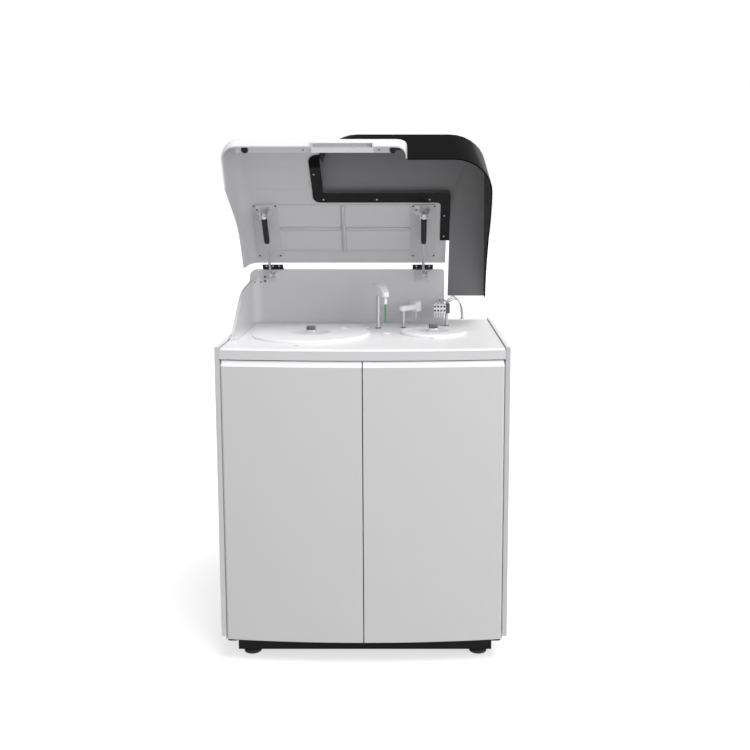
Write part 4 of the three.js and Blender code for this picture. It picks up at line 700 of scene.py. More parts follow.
class ANALYSER_OT_studio(Step, Operator):
    """Floor, even world light, soft key light and the camera at the photograph's angle"""

    bl_idname = "analyser.studio"
    bl_label = "Studio"

    def execute(self, context):
        scene = context.scene
        settings = scene.analyser_studio
        scene.view_settings.view_transform = "Standard"

        camera = new_object("camera", bpy.data.cameras.new("camera"))
        camera.data.lens = settings.camera_lens
        camera.data.sensor_width = SENSOR
        camera.data.shift_x, camera.data.shift_y = settings.camera_shift
        camera.location = settings.camera_place
        camera.rotation_euler = (math.pi / 2 - settings.camera_tilt, 0, 0)
        scene.camera = camera

        world = bpy.data.worlds.new("studio")
        scene.world = world
        world.use_nodes = True
        tree = world.node_tree
        rays = add_node(tree, "ShaderNodeLightPath", {}).outputs
        direct = {0: rays["Is Camera Ray"], 1: rays["Is Transmission Ray"]}
        seen = add_node(tree, "ShaderNodeMath", direct, operation="MAXIMUM")
        levels = {"To Min": settings.world_light, "To Max": settings.world_gloss}
        unseen = add_node(tree, "ShaderNodeMapRange", {"Value": rays["Is Glossy Ray"], **levels})
        levels = {"To Min": unseen.outputs["Result"], "To Max": 1.0}
        strength = add_node(tree, "ShaderNodeMapRange", {"Value": seen.outputs[0], **levels})
        feed(tree, tree.nodes["Background"], {"Color": (1, 1, 1, 1), "Strength": strength.outputs["Result"]})

        lights = (("key", settings.key_light, 32, 25, 38), ("fill", settings.fill_light, 60, 84, 48))
        for name, strength, spread, lean, turn in lights:
            lamp = bpy.data.lights.new(name, "SUN")
            lamp.energy = strength
            lamp.angle = math.radians(spread)
            new_object(name, lamp).rotation_euler = (math.radians(lean), 0, math.radians(turn))

        angle = circle(96)
        ring = np.stack([np.cos(angle), np.sin(angle), 0 * angle], -1)
        rings = ring[None] * np.array(FLOOR_RADII)[:, None, None] - np.array([0, 0, FLOOR_DROP])
        mesh = new_mesh("studio_floor", *grid(rings))
        floor = new_object("studio_floor", mesh)
        paint = Finish("studio_floor_paint", (FLOOR_GREY,) * 3, 0.9, specular=0.0)
        rays = add_node(paint.tree, "ShaderNodeLightPath", {}).outputs
        seen = {0: rays["Is Camera Ray"], 1: settings.floor_glow}
        glow = add_node(paint.tree, "ShaderNodeMath", seen, operation="MULTIPLY")
        paint.shade({"Emission Color": (1, 1, 1, 1), "Emission Strength": glow.outputs[0]})
        mesh.materials.append(paint.material)
        return {"FINISHED"}


# Hose routes in cabinet millimetres, as in the CAD model
HEAD_LEFT, HEAD_RIGHT, HEAD_Y, HEAD_TOP = 211.0, 251.0, 455.0, 1002.0
HOSE_PITCH, HOSE_COUNT, HOSE_END = 10.0, 3, (314.0, 611.0)


def hose_route(i):
    """Hose i from the wash head's top, back over the upstand's end and down to the sleeve at the worktop."""
    x = HEAD_LEFT + HOSE_PITCH * (i + 1)
    top = HEAD_TOP
    return [
        (x, HEAD_Y, top + 0.3), (x, HEAD_Y, top + 6), (x + 5, HEAD_Y + 12, top + 12),
        (250 + i, 498 + 3 * i, top + 8 - 3 * i), (256 + 2 * i, 535 + 2 * i, top - 2 - 3 * i),
        (266 + 3 * i, 572, top + 4 - 4 * i), (282 + 4 * i, 596 - i, top + 10 - 5 * i),
        (300 + 3 * i, 606 - i, top - 4 - 5 * i), (308 + 3 * i, 610, top - 26 - 4 * i),
        (311 + 2 * i, 611, top - 44),
    ]


class ANALYSER_OT_hoses(Step, Operator):
    """The wash head's thin hoses and the sleeve that gathers them at the worktop"""

    bl_idname = "analyser.hoses"
    bl_label = "Hoses"

    def execute(self, context):
        x, y = HOSE_END
        radius = context.scene.analyser_sizes.hose_radius * MM
        for i in range(HOSE_COUNT):
            path = row(smooth_path(hose_route(i), 80))
            surface = tube(path, radius, 12)
            hose = make_piece(f"wash_hose_{i + 1}", surface, "hose", None, "wash_hoses", i == 0, as_is)
            tuple(row([0, HEAD_Y, HEAD_TOP + 2]))
            tuple(row([0, y - 15, HEAD_TOP + 2]))
            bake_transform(hose)
        route = smooth_path([(x - 1, y, HEAD_TOP - 38), (x, y, HEAD_TOP - 58), (x, y, DECK_TOP - 34)], 24)
        make_piece("hose_sleeve", tube(route, 4.9, 16), "hose", "cabinet", "wash_hoses")
        profile = [[6.2, 0], [11, 0], [11, 1.6], [9.6, 2.8], [7.4, 2.8], [6.2, 1.8]]
        grommet = turned(profile, HOSE_END, 32, closed=True)
        make_piece("hose_grommet", grommet, "worktop", "cabinet", "wash_hoses", place=on_deck)
        return {"FINISHED"}


# CAD pieces whose shape is already right, by finish
PLAIN = {
    "fascia": ["front_beam"],
    "plinth": ["plinth"],
    "zinc": ["floor_tray", "instrument_shelf", "lift_frame", "power_box"],
    "worktop": ["worktop", "port_ring", "wash_cup"],
    "upstand": ["back_upstand", "spring_bracket_left", "spring_bracket_right"],
    "aluminium": ["sample_tub", "reaction_tub", "probe_carriage", "mixer_carriage", "lamp_house"],
    "rotor": ["sample_rotor"],
    "black_plastic": ["reaction_rotor", "power_inlet", "mains_switch"],
    "black_steel": ["sample_motor", "reaction_motor", "hinge_moving_leaf_left", "hinge_moving_leaf_right",
                    "hinge_fixed_leaf_left", "hinge_fixed_leaf_right"],
    "steel": ["mixer_paddle"],
    "plate": ["lift_plate_left", "lift_plate_right"],
    "rubber": ["bumper_left", "bumper_right"],
}
FINE = ("mixer_paddle", "mains_switch", "sample_rotor", "reaction_rotor", "port_ring", "wash_cup")
TRIM_FROM = 920 * MM
PROBE_COLUMN_TOP = 1037.5 * MM


def panel_top(centres, normals):
    return (normals[:, 2] > 0.9) & (centres[:, 2] > TRIM_FROM)


class ANALYSER_OT_shells(Step, Operator):
    """Softened copies of the CAD pieces whose shape is already right"""

    bl_idname = "analyser.shells"
    bl_label = "Panels, shells and inner pieces"

    def execute(self, context):
        for _, name in SIDES:
            paint_faces(dress_node(f"side_panel_{name}", "panel"), ("trim", panel_top))
        for finish, nodes in PLAIN.items():
            for node in nodes:
                dress_node(node, finish, 0.3 if node in FINE else 0.8)
        arm = dress_node("probe_arm", "arm", 1.2)
        paint_faces(arm, ("steel", lambda centres, normals: centres[:, 2] < PROBE_COLUMN_TOP))
        return {"FINISHED"}


DOOR_START, DOOR_PIVOT, DOOR_ROUND, DOOR_REAR = 1.5, (389.4, 9.514), 11.0, 20.514
DOOR_CORNER, DOOR_EDGE, DOOR_SKIN = 8.0, 17.0, 4.2
DOOR_BOTTOM, DOOR_TOP = 71.0, 896.0
SEAL_LIP, SEAL_ROOT = 400.8, 402.2
STIFFENERS = (70, 190, 310)  # distance of the channels from the middle
CHANNEL_LOW, CHANNEL_HIGH, CHANNEL_DEEP = 100, 866, 9
RIVET_HEIGHTS = (120, 300, 480, 660, 846)
LATCH_HEIGHTS, LATCH_TALL, GASKET_TALL = (846, 104), 20, 7


def door_section(side, back):
    """A door's outline at one height: the bowed face moved back, the hinge end's tight front corner and round
    rear corner, and the flat rear."""
    pivot_x, pivot_y = DOOR_PIVOT
    x = np.linspace(DOOR_START, pivot_x + DOOR_ROUND - DOOR_CORNER, 50)
    face = np.column_stack([x, bow_line(x) + back])
    far = x[-1] + DOOR_CORNER - back / 2
    angle = np.linspace(-np.pi / 2, 0, 11)[1:]
    front_x = x[-1] + (far - x[-1]) * np.cos(angle)
    front_corner = np.column_stack([front_x, face[-1, 1] + DOOR_CORNER * (1 + np.sin(angle))])
    angle = np.linspace(0, np.pi / 2, 11)
    rear_x = pivot_x + (far - pivot_x) * np.cos(angle)
    rear_corner = np.column_stack([rear_x, pivot_y + DOOR_ROUND * np.sin(angle)])
    return np.vstack([face, front_corner, rear_corner, [[DOOR_START, DOOR_REAR]]]) * [side, 1]


def door_body(side):
    """The door's skin, rolled over at the top and bottom, with its pocket cut out behind."""
    roll, foot = np.linspace(np.pi / 2, 0, 9), 3.0
    rows = [(DOOR_BOTTOM + foot * (1 - math.sin(a)), foot * (1 - math.cos(a))) for a in roll]
    shares = ((1, 0), (0.94, 0.03), (0.88, 0.1), (0.16, 0.6), (0.08, 0.7), (0.02, 0.85), (0, 1))
    rows += [(DOOR_TOP - DOOR_EDGE * down, 5 * deep) for down, deep in shares]
    outer = swept(stacked([door_section(side, back) for _, back in rows], [height for height, _ in rows]))
    x = np.linspace(DOOR_START + 3, DOOR_PIVOT[0] - 26, 25)
    line = np.column_stack([side * x, bow_line(x) + 4])
    plan = np.vstack([line, [[side * x[-1], DOOR_REAR + 6], [side * x[0], DOOR_REAR + 6]]])
    return carve(outer, swept(stacked([plan, plan], (DOOR_BOTTOM + 14, DOOR_TOP - 14))))


# Faces of a door's top band, which carry the near-white painted highlight
def door_top_painted_highlight(centres, normals):
    return (centres[:, 2] > (DOOR_TOP - DOOR_EDGE + 0.5) * MM) & (normals[:, 1] < 0.5)


class ANALYSER_OT_doors(Step, Operator):
    """Bowed door skins with rolled edges, hinge pins, stiffening channels, gaskets and latches"""

    bl_idname = "analyser.doors"
    bl_label = "Doors"

    def execute(self, context):
        half = context.scene.analyser_sizes.door_stiffener / 2
        lip_out = half + 6  # the middle of a channel's welded lip, from the channel's own middle
        for side, name in SIDES:
            body = f"door_{name}"
            skin = make_piece(f"{body}_skin", door_body(side), "door", body, body, True, smooth_angle=12)
            # The top band gets the near-white painted highlight
            paint_faces(skin, ("door_edge", door_top_painted_highlight))
            pivot = (DOOR_PIVOT[0] * side, DOOR_PIVOT[1])
            spans = ((DOOR_BOTTOM - 3.4, DOOR_BOTTOM + 3), (DOOR_TOP - 3, DOOR_TOP + 6.3))
            pins = [cylinder(pivot, 4, low, high, 24) for low, high in spans]
            make_piece(f"{body}_pins", pins, "steel", body, body)
            strip = (side * SEAL_LIP, side * SEAL_ROOT, 0.4, 7.5, DOOR_BOTTOM + 1, DOOR_TOP - 1, 0.6, 0.3)
            lip = make_piece(f"{body}_edge_seal", slab(*strip), "seal", "cabinet", f"side_panel_{name}")
            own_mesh(lip)
            channels = []
            for x in STIFFENERS:
                at, depth = side * x, float(bow_line(x)) + DOOR_SKIN
                spans = (depth, depth + CHANNEL_DEEP, CHANNEL_LOW, CHANNEL_HIGH)
                channels.append(slab(at - half, at + half, *spans, 1.5))
                spans = (depth - 0.1, depth + 1.4, CHANNEL_LOW + 4, CHANNEL_HIGH - 4)
                for edge in (at - lip_out, at + lip_out):
                    channels.append(slab(edge - 7, edge + 7, *spans, 1.0, 0.4))
            spans = (side * 8, side * 372, DOOR_REAR - 0.1, DOOR_REAR + 2.6)
            gasket = [slab(*spans, z, z + GASKET_TALL, 1.0, 0.9) for z in (DOOR_BOTTOM + 4, DOOR_TOP - 12)]
            spans = (side * 8, side * 38, float(bow_line(20)) + DOOR_SKIN, DOOR_REAR + 1.5)
            latches = [slab(*spans, z, z + LATCH_TALL) for z in LATCH_HEIGHTS]
            parts = (
                ("stiffeners", channels, "zinc"),
                ("gasket", gasket, "foam"),
                ("latches", latches, "black_plastic"),
            )
            make_parts(body, parts, body, body)
            places = [(side * x + edge, float(bow_line(x)) + DOOR_SKIN + 1.4, z)
                      for x in STIFFENERS for edge in (-lip_out, lip_out) for z in RIVET_HEIGHTS]
            screws(f"{body}_rivets", places, (0, 1, 0), 2.6, "screw", body, body)
        return {"FINISHED"}


SAMPLE_WELL, REACTION_WELL = (-170.0, 262.0), (206.0, 295.0)
PROBE_AT, MIXER_AT, WASH_AT = (32.0, 398.0), (113.0, 407.0), (253.5, HEAD_Y)
PROBE_REACH, MIXER_REACH = 120.0, 78.0
COVER_RAISE, COVER_THICK, COVER_ROUND, RECESS_DEPTH = 0.3, 8.0, 5.0, 1.6
WIPER = [[0.8, 0], [3, 0], [3, 1.2], [2.4, 2.4], [1.4, 2.4], [0.8, 1.8]]
PORT_RIM = [[7.4, -2.5], [9, -2.5], [9, 0], [10.6, 0], [10.2, 0.9], [8.4, 0.9], [7.4, -0.4]]

# Each cover: name, centre, radius, radius of the spigot below and of the recess on top, and the port places
COVERS = (
    ("sample", SAMPLE_WELL, 181.0, 169.0, 60.0, [about(PROBE_AT, PROBE_REACH, -150)]),
    ("reaction", REACTION_WELL, 103.0, 93.0, 49.0,
     [about(PROBE_AT, PROBE_REACH, -36), about(MIXER_AT, MIXER_REACH, -50.3)]),
)


class ANALYSER_OT_worktop(Step, Operator):
    """Round well covers with their ports, rims and knobs, and what is set into the worktop"""

    bl_idname = "analyser.worktop"
    bl_label = "Covers and knobs"

    def execute(self, context):
        low = DECK_TOP + COVER_RAISE
        top = low + COVER_THICK
        sunk = top - RECESS_DEPTH
        roll = np.linspace(0, np.pi / 2, 7)
        arc = np.column_stack([np.cos(roll), np.sin(roll)]) * COVER_ROUND
        for name, centre, radius, spigot, recess, ports in COVERS:
            body = f"{name}_cover"
            profile = [
                (0, low), (spigot - 3, low), (spigot - 3, low - 5), (spigot, low - 5), (spigot, low),
                (radius - 0.8, low), (radius, low + 0.8), *(arc + (radius - COVER_ROUND, top - COVER_ROUND)),
                (recess + 0.4, top), (recess - 1.4, top - 1.4), (recess - 2, sunk), (0, sunk),
            ]
            holes = [cylinder(port, 9, low - 12, top + 6, 40) for port in ports]
            surface = carve(turned(profile, centre, 160), *holes)
            disc = make_piece(f"{body}_disc", surface, "worktop", body, body, True, smooth_angle=32)

            # The recess floor and its step are painted pale grey: painted shade
            def recess_painted_shade_faces(centres, normals):
                x, y = centres[:, 0] / MM, (centres[:, 1] - CABINET_SHIFT) / MM
                return (np.hypot(x - centre[0], y - centre[1]) < recess) & (centres[:, 2] > (top - 2.5) * MM)

            paint_faces(disc, ("recess", recess_painted_shade_faces))
            rims = [turned(np.add(PORT_RIM, (0, top)), port, 40, closed=True) for port in ports]
            make_piece(f"{body}_port_rims", rims, "worktop", body, body)

            x, y = centre
            base, node = sunk + COVER_RAISE, f"{name}_cover_knob"
            foot = rounded_box(x - 14.5, x + 14.5, y - 13, y + 13, 4, 6)
            head = rounded_box(x - 13.6, x + 13.6, y - 12.1, y + 12.1, 4, 6)
            parts = (
                ("foot", pillow(foot, base, base + 8.5, 1.2, 4), "bright"),
                ("head", pillow(head, base + 8.4, base + 19, 2.2, 5), "knob"),
            )
            make_parts(node, parts, body, node, main="head")

        marks = [slab(x - 8, x + 8, y - 4, y + 4, DECK_TOP - 0.1, DECK_TOP + 0.5, 3.9, 0.4)
                 for x, y in ((-190.7, 50.0), (196.7, 174.0))]
        make_piece("worktop_marks", marks, "seam", "cabinet", "worktop")
        columns = ((6.5, PROBE_AT), (5.0, MIXER_AT), (5.5, WASH_AT))
        wipers = [turned(np.add(WIPER, (radius, 0)), at, 40, closed=True) for radius, at in columns]
        make_piece("column_wipers", wipers, "grey_plastic", "cabinet", "worktop", place=on_deck)
        return {"FINISHED"}


HOOD_ROOF = 1086  # the hood's roof lies above this, with the lid closed
LID_FRONT = 16.0  # the middle of the lid's front flange
RAY_START, RAY_REACH = 0.0006, 0.7  # in metres
SPRING_X = {"left": -325.0, "right": 178.0}


def on_lid(test):
    """A test for paint_faces from one of x, y, z and the normal's three parts, with the lid closed."""
    return lambda centres, normals: test(*lowered(centres).T, *lowered_normals(normals).T)


# Faces that get the lid's grey painted shade
@on_lid
def shell_inside(x, y, z, nx, ny, nz):
    """The lid shell's roof, left wall and front wall seen from below, without the rims."""
    rim = (nz < -0.9) & (z < RIM_Z + 4) & ((z < RIM_Z + 1) | (x < -395))
    wing_rim = (x < -399) & (np.abs(nx) < 0.02) & (y < 40)
    roof = nz < -0.15
    wall = (nx > 0.3) & (x < -360)
    front = (ny > 0.3) & (y < 60)
    return (roof | wall | front) & ~rim & ~wing_rim


@on_lid
def hood_flange(x, y, z, nx, ny, nz):
    """The hood's flat flange along the lid's inner surface."""
    near = np.abs(z - lid_inside(y) + 3) < 7
    return (x < -141) | ((y > 235) & (x < 256) & near)


def looks_inward(mesh):
    """A test for the hood's inner faces: walls that see another wall straight ahead of them, and the roof."""
    faces = [list(f.vertices) for f in mesh.polygons]
    tree = BVHTree.FromPolygons([v.co.copy() for v in mesh.vertices], faces)

    def test(centres, normals):
        rays = [(Vector(c) + Vector(n) * RAY_START, Vector(n)) for c, n in zip(centres, normals)]
        sees = np.array([tree.ray_cast(start, way, RAY_REACH)[0] is not None for start, way in rays])
        height, up = lowered(centres)[:, 2], lowered_normals(normals)[:, 2]
        return (sees & (np.abs(up) < 0.5)) | ((up < -0.3) & (height > HOOD_ROOF))

    return test


class ANALYSER_OT_lid(Step, Operator):
    """The lid's white shell, its inside painted grey as painted shade, with ribs, lift plates, hinges, handle
    and the black hood
    """

    bl_idname = "analyser.lid"
    bl_label = "Lid and hood"

    def execute(self, context):
        # The shell's inner faces get the grey painted shade
        paint_faces(dress_node("lid_shell", "lid", 1.0, 30), ("lid_inside", shell_inside))
        dress_node("lid_handle", "lid", 1.2)
        hood = dress_node("lid_hood", "hood", 0.8, 30)
        inside = looks_inward(hood.data)
        # The hood's right inner wall is painted a darker grey: painted shade
        painted_shade_right_wall = on_lid(lambda x, y, z, nx, ny, nz: (x > 300) & (nx < -0.25))
        paint_faces(
            hood, ("hood_inside", inside), ("hood_side", lambda *at: painted_shade_right_wall(*at) & inside(*at)),
            ("flange", hood_flange),
        )

        rib = context.scene.analyser_sizes.rib_height
        ribs = [slab(-84, -73, 66, 254, -0.3, rib, 5.4, rib * 0.85)]
        rows = ((156, 167, 0.8, 5.4, 0.75), (70, 76, 0.45, 2.9, 0.4), (252, 256, 0.35, 1.9, 0.3))
        for near, far, tall, corner, edge in rows:
            for x0, x1 in ((-283, -85), (-72, 136)):
                ribs.append(slab(x0, x1, near, far, -0.3, rib * tall, corner, rib * edge))
        creases = []
        for y, x0, x1 in ((118, -352, -172), (218, -345, -172), (271, -345, -285)):
            height = float(lid_inside(y))
            creases.append(slab(x0, x1, y - 2.2, y + 2.2, height - 1.4, height + 0.5, 2.1, 0.9))
        for name, slabs, place in (("lid_ribs", ribs, on_ceiling), ("lid_crease_beads", creases, raised)):
            make_piece(name, slabs, "lid_inside", "lid", "lid_shell", place=place, smooth_angle=60)

        inward = on_ceiling([0, 0, 1]) - on_ceiling([0, 0, 0])
        # Each side: name, X of the hinge and of the bracket's screws, two small heads, the screws' finish
        sides = (("left", -321, -347.4, (-24.8, 15), "dark_screw"), ("right", 177, 193.7, (-24, 16), "screw"))
        for name, hinge_x, bracket_x, dots, tone in sides:
            x = SPRING_X[name]
            node = f"lift_plate_{name}"
            places = [(x + dx, ahead, 2.8) for dx in (-34, 34) for ahead in (55, 250.3)]
            places += [(x + dx, 238, 5.2) for dx in dots]
            screws(f"{node}_screws", on_ceiling(places), inward, 2.9 * MM, "dark_screw", "lid", node, as_is)
            bracket = joined(
                slab(x - 27, x + 18, 218, 254, 2.7, 5.2, 5, 0.8),
                slab(x - 13, x - 10.5, 224, 252, 2.7, 40, 1.0, 0.6),
            )
            make_piece(f"{node}_bracket", bracket, "bracket_paint", "lid", node, place=on_ceiling)
            node = f"hinge_moving_leaf_{name}"
            places = on_ceiling([(hinge_x + dx, 10.6, 2.8) for dx in (-21, 0, 21)])
            screws(f"{node}_screws", places, inward, 3.2 * MM, "screw", "lid", node, as_is)
            node = f"hinge_fixed_leaf_{name}"
            places = [(hinge_x + dx, 546, 1110.8) for dx in (-21, 0, 21)]
            screws(f"{node}_screws", places, (0, 0, 1), 3.2, "screw", "cabinet", node)
            node = f"spring_bracket_{name}"
            places = [(bracket_x, 523.7, 1084), (bracket_x, 523.7, 1070.3)]
            screws(f"{node}_screws", places, (0, -1, 0), 3.1, tone, "cabinet", node)

        places, ways = [(-380, 513.6, 1067), (-362, 525.2, 1067)], [(0.75, -0.66, 0), (0.3, -0.95, 0)]
        screws("upstand_screws", places, ways, 2.4, "dark_screw", "cabinet", "back_upstand")
        down = raised([0, 0, -1]) - raised([0, 0, 0])
        spots = ((-159, 150), (-137, 256), (30, 256), (196, 256), (243, 318), (243, 398))
        places = raised([(x, y, float(lid_inside(y)) - 3.4) for x, y in spots])
        screws("hood_flange_screws", places, down, 2.8 * MM, "screw", "lid", "lid_hood", as_is)
        places = raised([(x, LID_FRONT, RIM_Z + 4) for x in (-173.0, 44.4)])
        screws("lid_flange_screws", places, down, 2.2 * MM, "dark_screw", "lid", "lid_shell", as_is)
        seat = turned([[8.6, 0], [10.4, 0], [10.2, 1.0], [9.2, 1.4], [8.6, 0.8]], (0, 0), 28, closed=True)
        for name, x in (("left", -340), ("right", 85)):
            def hung(points):
                return raised(points * np.array([1, 1, -1]) + np.array([x, LID_FRONT, RIM_Z + 4.1]))

            make_piece(f"bumper_{name}_seat", seat, "flange", "lid", f"bumper_{name}", place=hung)
        return {"FINISHED"}


SPRING_FOOT = np.array([503.0, 1092.0])
SPRING_HEAD = swung([0, 296.0, 1055.5], OPEN_ANGLE)[1:]
SPRING_TUBE = 109.5  # from the tube's mouth to the middle of its eye
BARREL_MOUTH = [(0, 0), (6.6, 0), (7.9, 1), (8.3, 3), (7.7, 5), (7.7, 6.2), (8.7, 8), (9, 11)]
BARREL_END = [(9, -17), (8.6, -14), (6.2, -11.6), (4.6, -10.6), (4.6, -5), (0, -5)]
SPRING_SOCKET = [(0, -13.5), (6.6, -13.5), (8.2, -12), (9.4, -9), (9.4, -6), (8.4, -4.6), (0, -4.6)]
SPRING_EYE = [(0, -5), (3.6, -5), (6.9, -5), (7.5, -4.4), (7.5, 4.4), (6.9, 5), (3.6, 5), (0, 5)]


class ANALYSER_OT_springs(Step, Operator):
    """Gas springs turned from steel: crimped black tubes, chromed rods and their eyes"""

    bl_idname = "analyser.springs"
    bl_label = "Gas springs"

    def execute(self, context):
        line = SPRING_HEAD - SPRING_FOOT
        length = float(np.hypot(*line))
        axis = np.array([0, *line]) / length
        mouth = length - SPRING_TUBE
        barrel = np.vstack([np.add(BARREL_MOUTH, (0, mouth)), np.add(BARREL_END, (0, length))])
        socket = np.add(SPRING_SOCKET, (0, length))
        rod = [(0, 4), (3.2, 4), (4, 5.5), (4, mouth + 34), (0, mouth + 34)]
        for name, x in SPRING_X.items():
            foot = np.array([x, *SPRING_FOOT])
            head = foot + axis * length
            across = (1, 0, 0)
            parts = (
                ("tube", "body", barrel, foot, axis, 40, "black_steel"),
                ("tube", "eye", SPRING_EYE, head, across, 32, "bracket"),
                ("tube", "socket", socket, foot, axis, 36, "arm"),
                ("rod", "bar", rod, foot, axis, 28, "chrome"),
                ("rod", "eye", SPRING_EYE, foot, across, 32, "upstand"),
            )
            for half, part, profile, start, way, sides, finish in parts:
                node, main = f"gas_spring_{half}_{name}", part in ("body", "bar")
                surface = turned_along(profile, start, way, sides)
                make_piece(f"{node}_{part}", surface, finish, f"gas_{half}_{name}", node, main)
        return {"FINISHED"}


NEEDLE = (
    ("needle_sleeve", [(0, 962), (1.6, 962), (2.5, 964), (2.5, 1021.5), (0, 1021.5)], 28, "green"),
    ("needle_collar", [(0, 1021), (3.4, 1021), (4.8, 1023), (5, 1026), (5, 1036.4), (4.4, 1037.4),
                       (2.4, 1037.6), (2.4, 1062), (0, 1062)], 32, "arm"),
    ("needle_tip", [(0, 952), (0.5, 952), (1.1, 954.5), (1.1, 963), (0, 963)], 20, "steel"),
)
MIXER_TURN = math.radians(59)
HEAD_LOW, HEAD_HALF = 973.0, 17.0


def on_mixer(points):
    """Points along the mixer arm [ahead, aside, height], turned to where the arm rests."""
    cos, sin = math.cos(MIXER_TURN), math.sin(MIXER_TURN)
    return row(points @ np.array([[cos, sin, 0], [-sin, cos, 0], [0, 0, 1]]) + np.array([*MIXER_AT, 0]))


class ANALYSER_OT_arms(Step, Operator):
    """The dosing needle with its collar and green sleeve, and the fittings on the wash head"""

    bl_idname = "analyser.arms"
    bl_label = "Needle and fittings"

    def execute(self, context):
        at = about(PROBE_AT, PROBE_REACH, -77.5)
        for name, profile, sides, finish in NEEDLE:
            surface = turned(profile, at, sides)
            make_piece(name, surface, finish, "probe_arm", "probe_needle", name == "needle_sleeve")

        tail = rounded_box(-16, 66, -10, 10, 6, 4)
        tail[:, 1] *= np.interp(tail[:, 0], [-16, 0, 66], [0.75, 1.0, 1.0])
        end = (MIXER_REACH, 0)
        head = carve(slab(63.5, 92.5, -14.5, 14.5, 976, 1009, 4.5, 1.6), cylinder(end, 3.6, 970, 1000, 24))
        cap = turned([(0, 1008.7), (6.4, 1008.7), (6.4, 1009.5), (5.8, 1010), (0, 1010)], end, 32)
        parts = (
            ("beam", pillow(tail, 984.4, 1000.8, 2.2, 4), "arm"),
            ("head", head, "arm"),
            ("cap", cap, "recess"),
            ("column", cylinder((0, 0), 5, 820, 984.8, 36), "steel"),
        )
        make_parts("mixer_arm", parts, "mixer_arm", "mixer_arm", "beam", on_mixer)

        depth = (HEAD_Y - HEAD_HALF, HEAD_Y + HEAD_HALF)
        x, shoe_rear = WASH_AT[0], HEAD_Y + 24
        tips = [cylinder((HEAD_LEFT + 7.9 * (k + 0.5), HEAD_Y + side * 8.5), 1.9, 958, HEAD_LOW + 0.5, 16)
                for k in range(4) for side in (-1, 1)]
        groove = slab(x - 9.3, x + 9.3, HEAD_Y + 18.7, shoe_rear + 3, 810, 856, 0.5, 0.4)
        dot = [(0, 0.5), (2.4, 0.5), (3.2, 0.3), (3.2, -0.3), (0, -0.3)]
        dots = [turned_along(dot, (dot_x, depth[0], z), (0, -1, 0), 20)
                for dot_x in (216.0, 226.0, 236.0, 246.0) for z in (994.8, 981.6)]
        barb = [(0, 1001.6), (3.4, 1001.6), (3.4, 1003), (2.7, 1004), (2.7, 1006), (2.2, 1007), (0, 1007)]
        barbs = [turned(barb, (HEAD_LEFT + HOSE_PITCH * (i + 1), HEAD_Y), 20) for i in range(HOSE_COUNT)]
        parts = (
            ("block", slab(HEAD_LEFT, HEAD_RIGHT, *depth, HEAD_LOW, HEAD_TOP, 1.6, 0.8), "arm"),
            ("bracket", slab(HEAD_RIGHT, HEAD_RIGHT + 13, *depth, HEAD_LOW - 0.3, HEAD_TOP + 0.3, 1.2, 0.8),
             "grey_plastic"),
            ("tips", tips, "arm"),
            ("column", cylinder(WASH_AT, 5.5, 849.7, HEAD_LOW + 0.5, 36), "steel"),
            ("shoe", carve(slab(x - 17, x + 17, depth[0], shoe_rear, 816, 850, 2, 1), groove), "aluminium"),
            ("fittings", dots, "black_plastic"),
            ("barbs", barbs, "arm"),
        )
        make_parts("wash_head", parts, "wash_head", "wash_head", "block")
        return {"FINISHED"}


REAR, REAR_SINK = 640.0, 0.4  # the rear sheet is sunk, so that its screw heads stay inside the depth
FOOT_X = 337.0
FOOT_PAD = [(0, 0), (24.6, 0), (25.6, 0.8), (26, 2), (26, 5), (25, 6), (24.4, 6.6), (24.6, 7.4),
            (21.6, 8.8), (12, 9.2), (0, 9.2)]
FOOT_STEM = [(0, 9), (9.6, 9), (10, 9.6), (10, 10.6), (8.6, 11.6), (5, 12), (5, 46), (0, 46)]
NUT_RADIUS = 9.6
LOUVRE_X, LOUVRE_HALF, LOUVRE_LOW, LOUVRE_COUNT = 205, 74, 180, 8
LOUVRE_BLADE = [(-0.4, 0.4), (-0.4, 1.6), (-11, 7.4), (-12, 6.6)]
INLET_PINS = ((288, 146), (302, 146), (295, 156))
SIDE_SCREWS, EDGE_SCREWS = (90, 300, 510, 720, 905), (82, 915)  # heights on the rear sheet


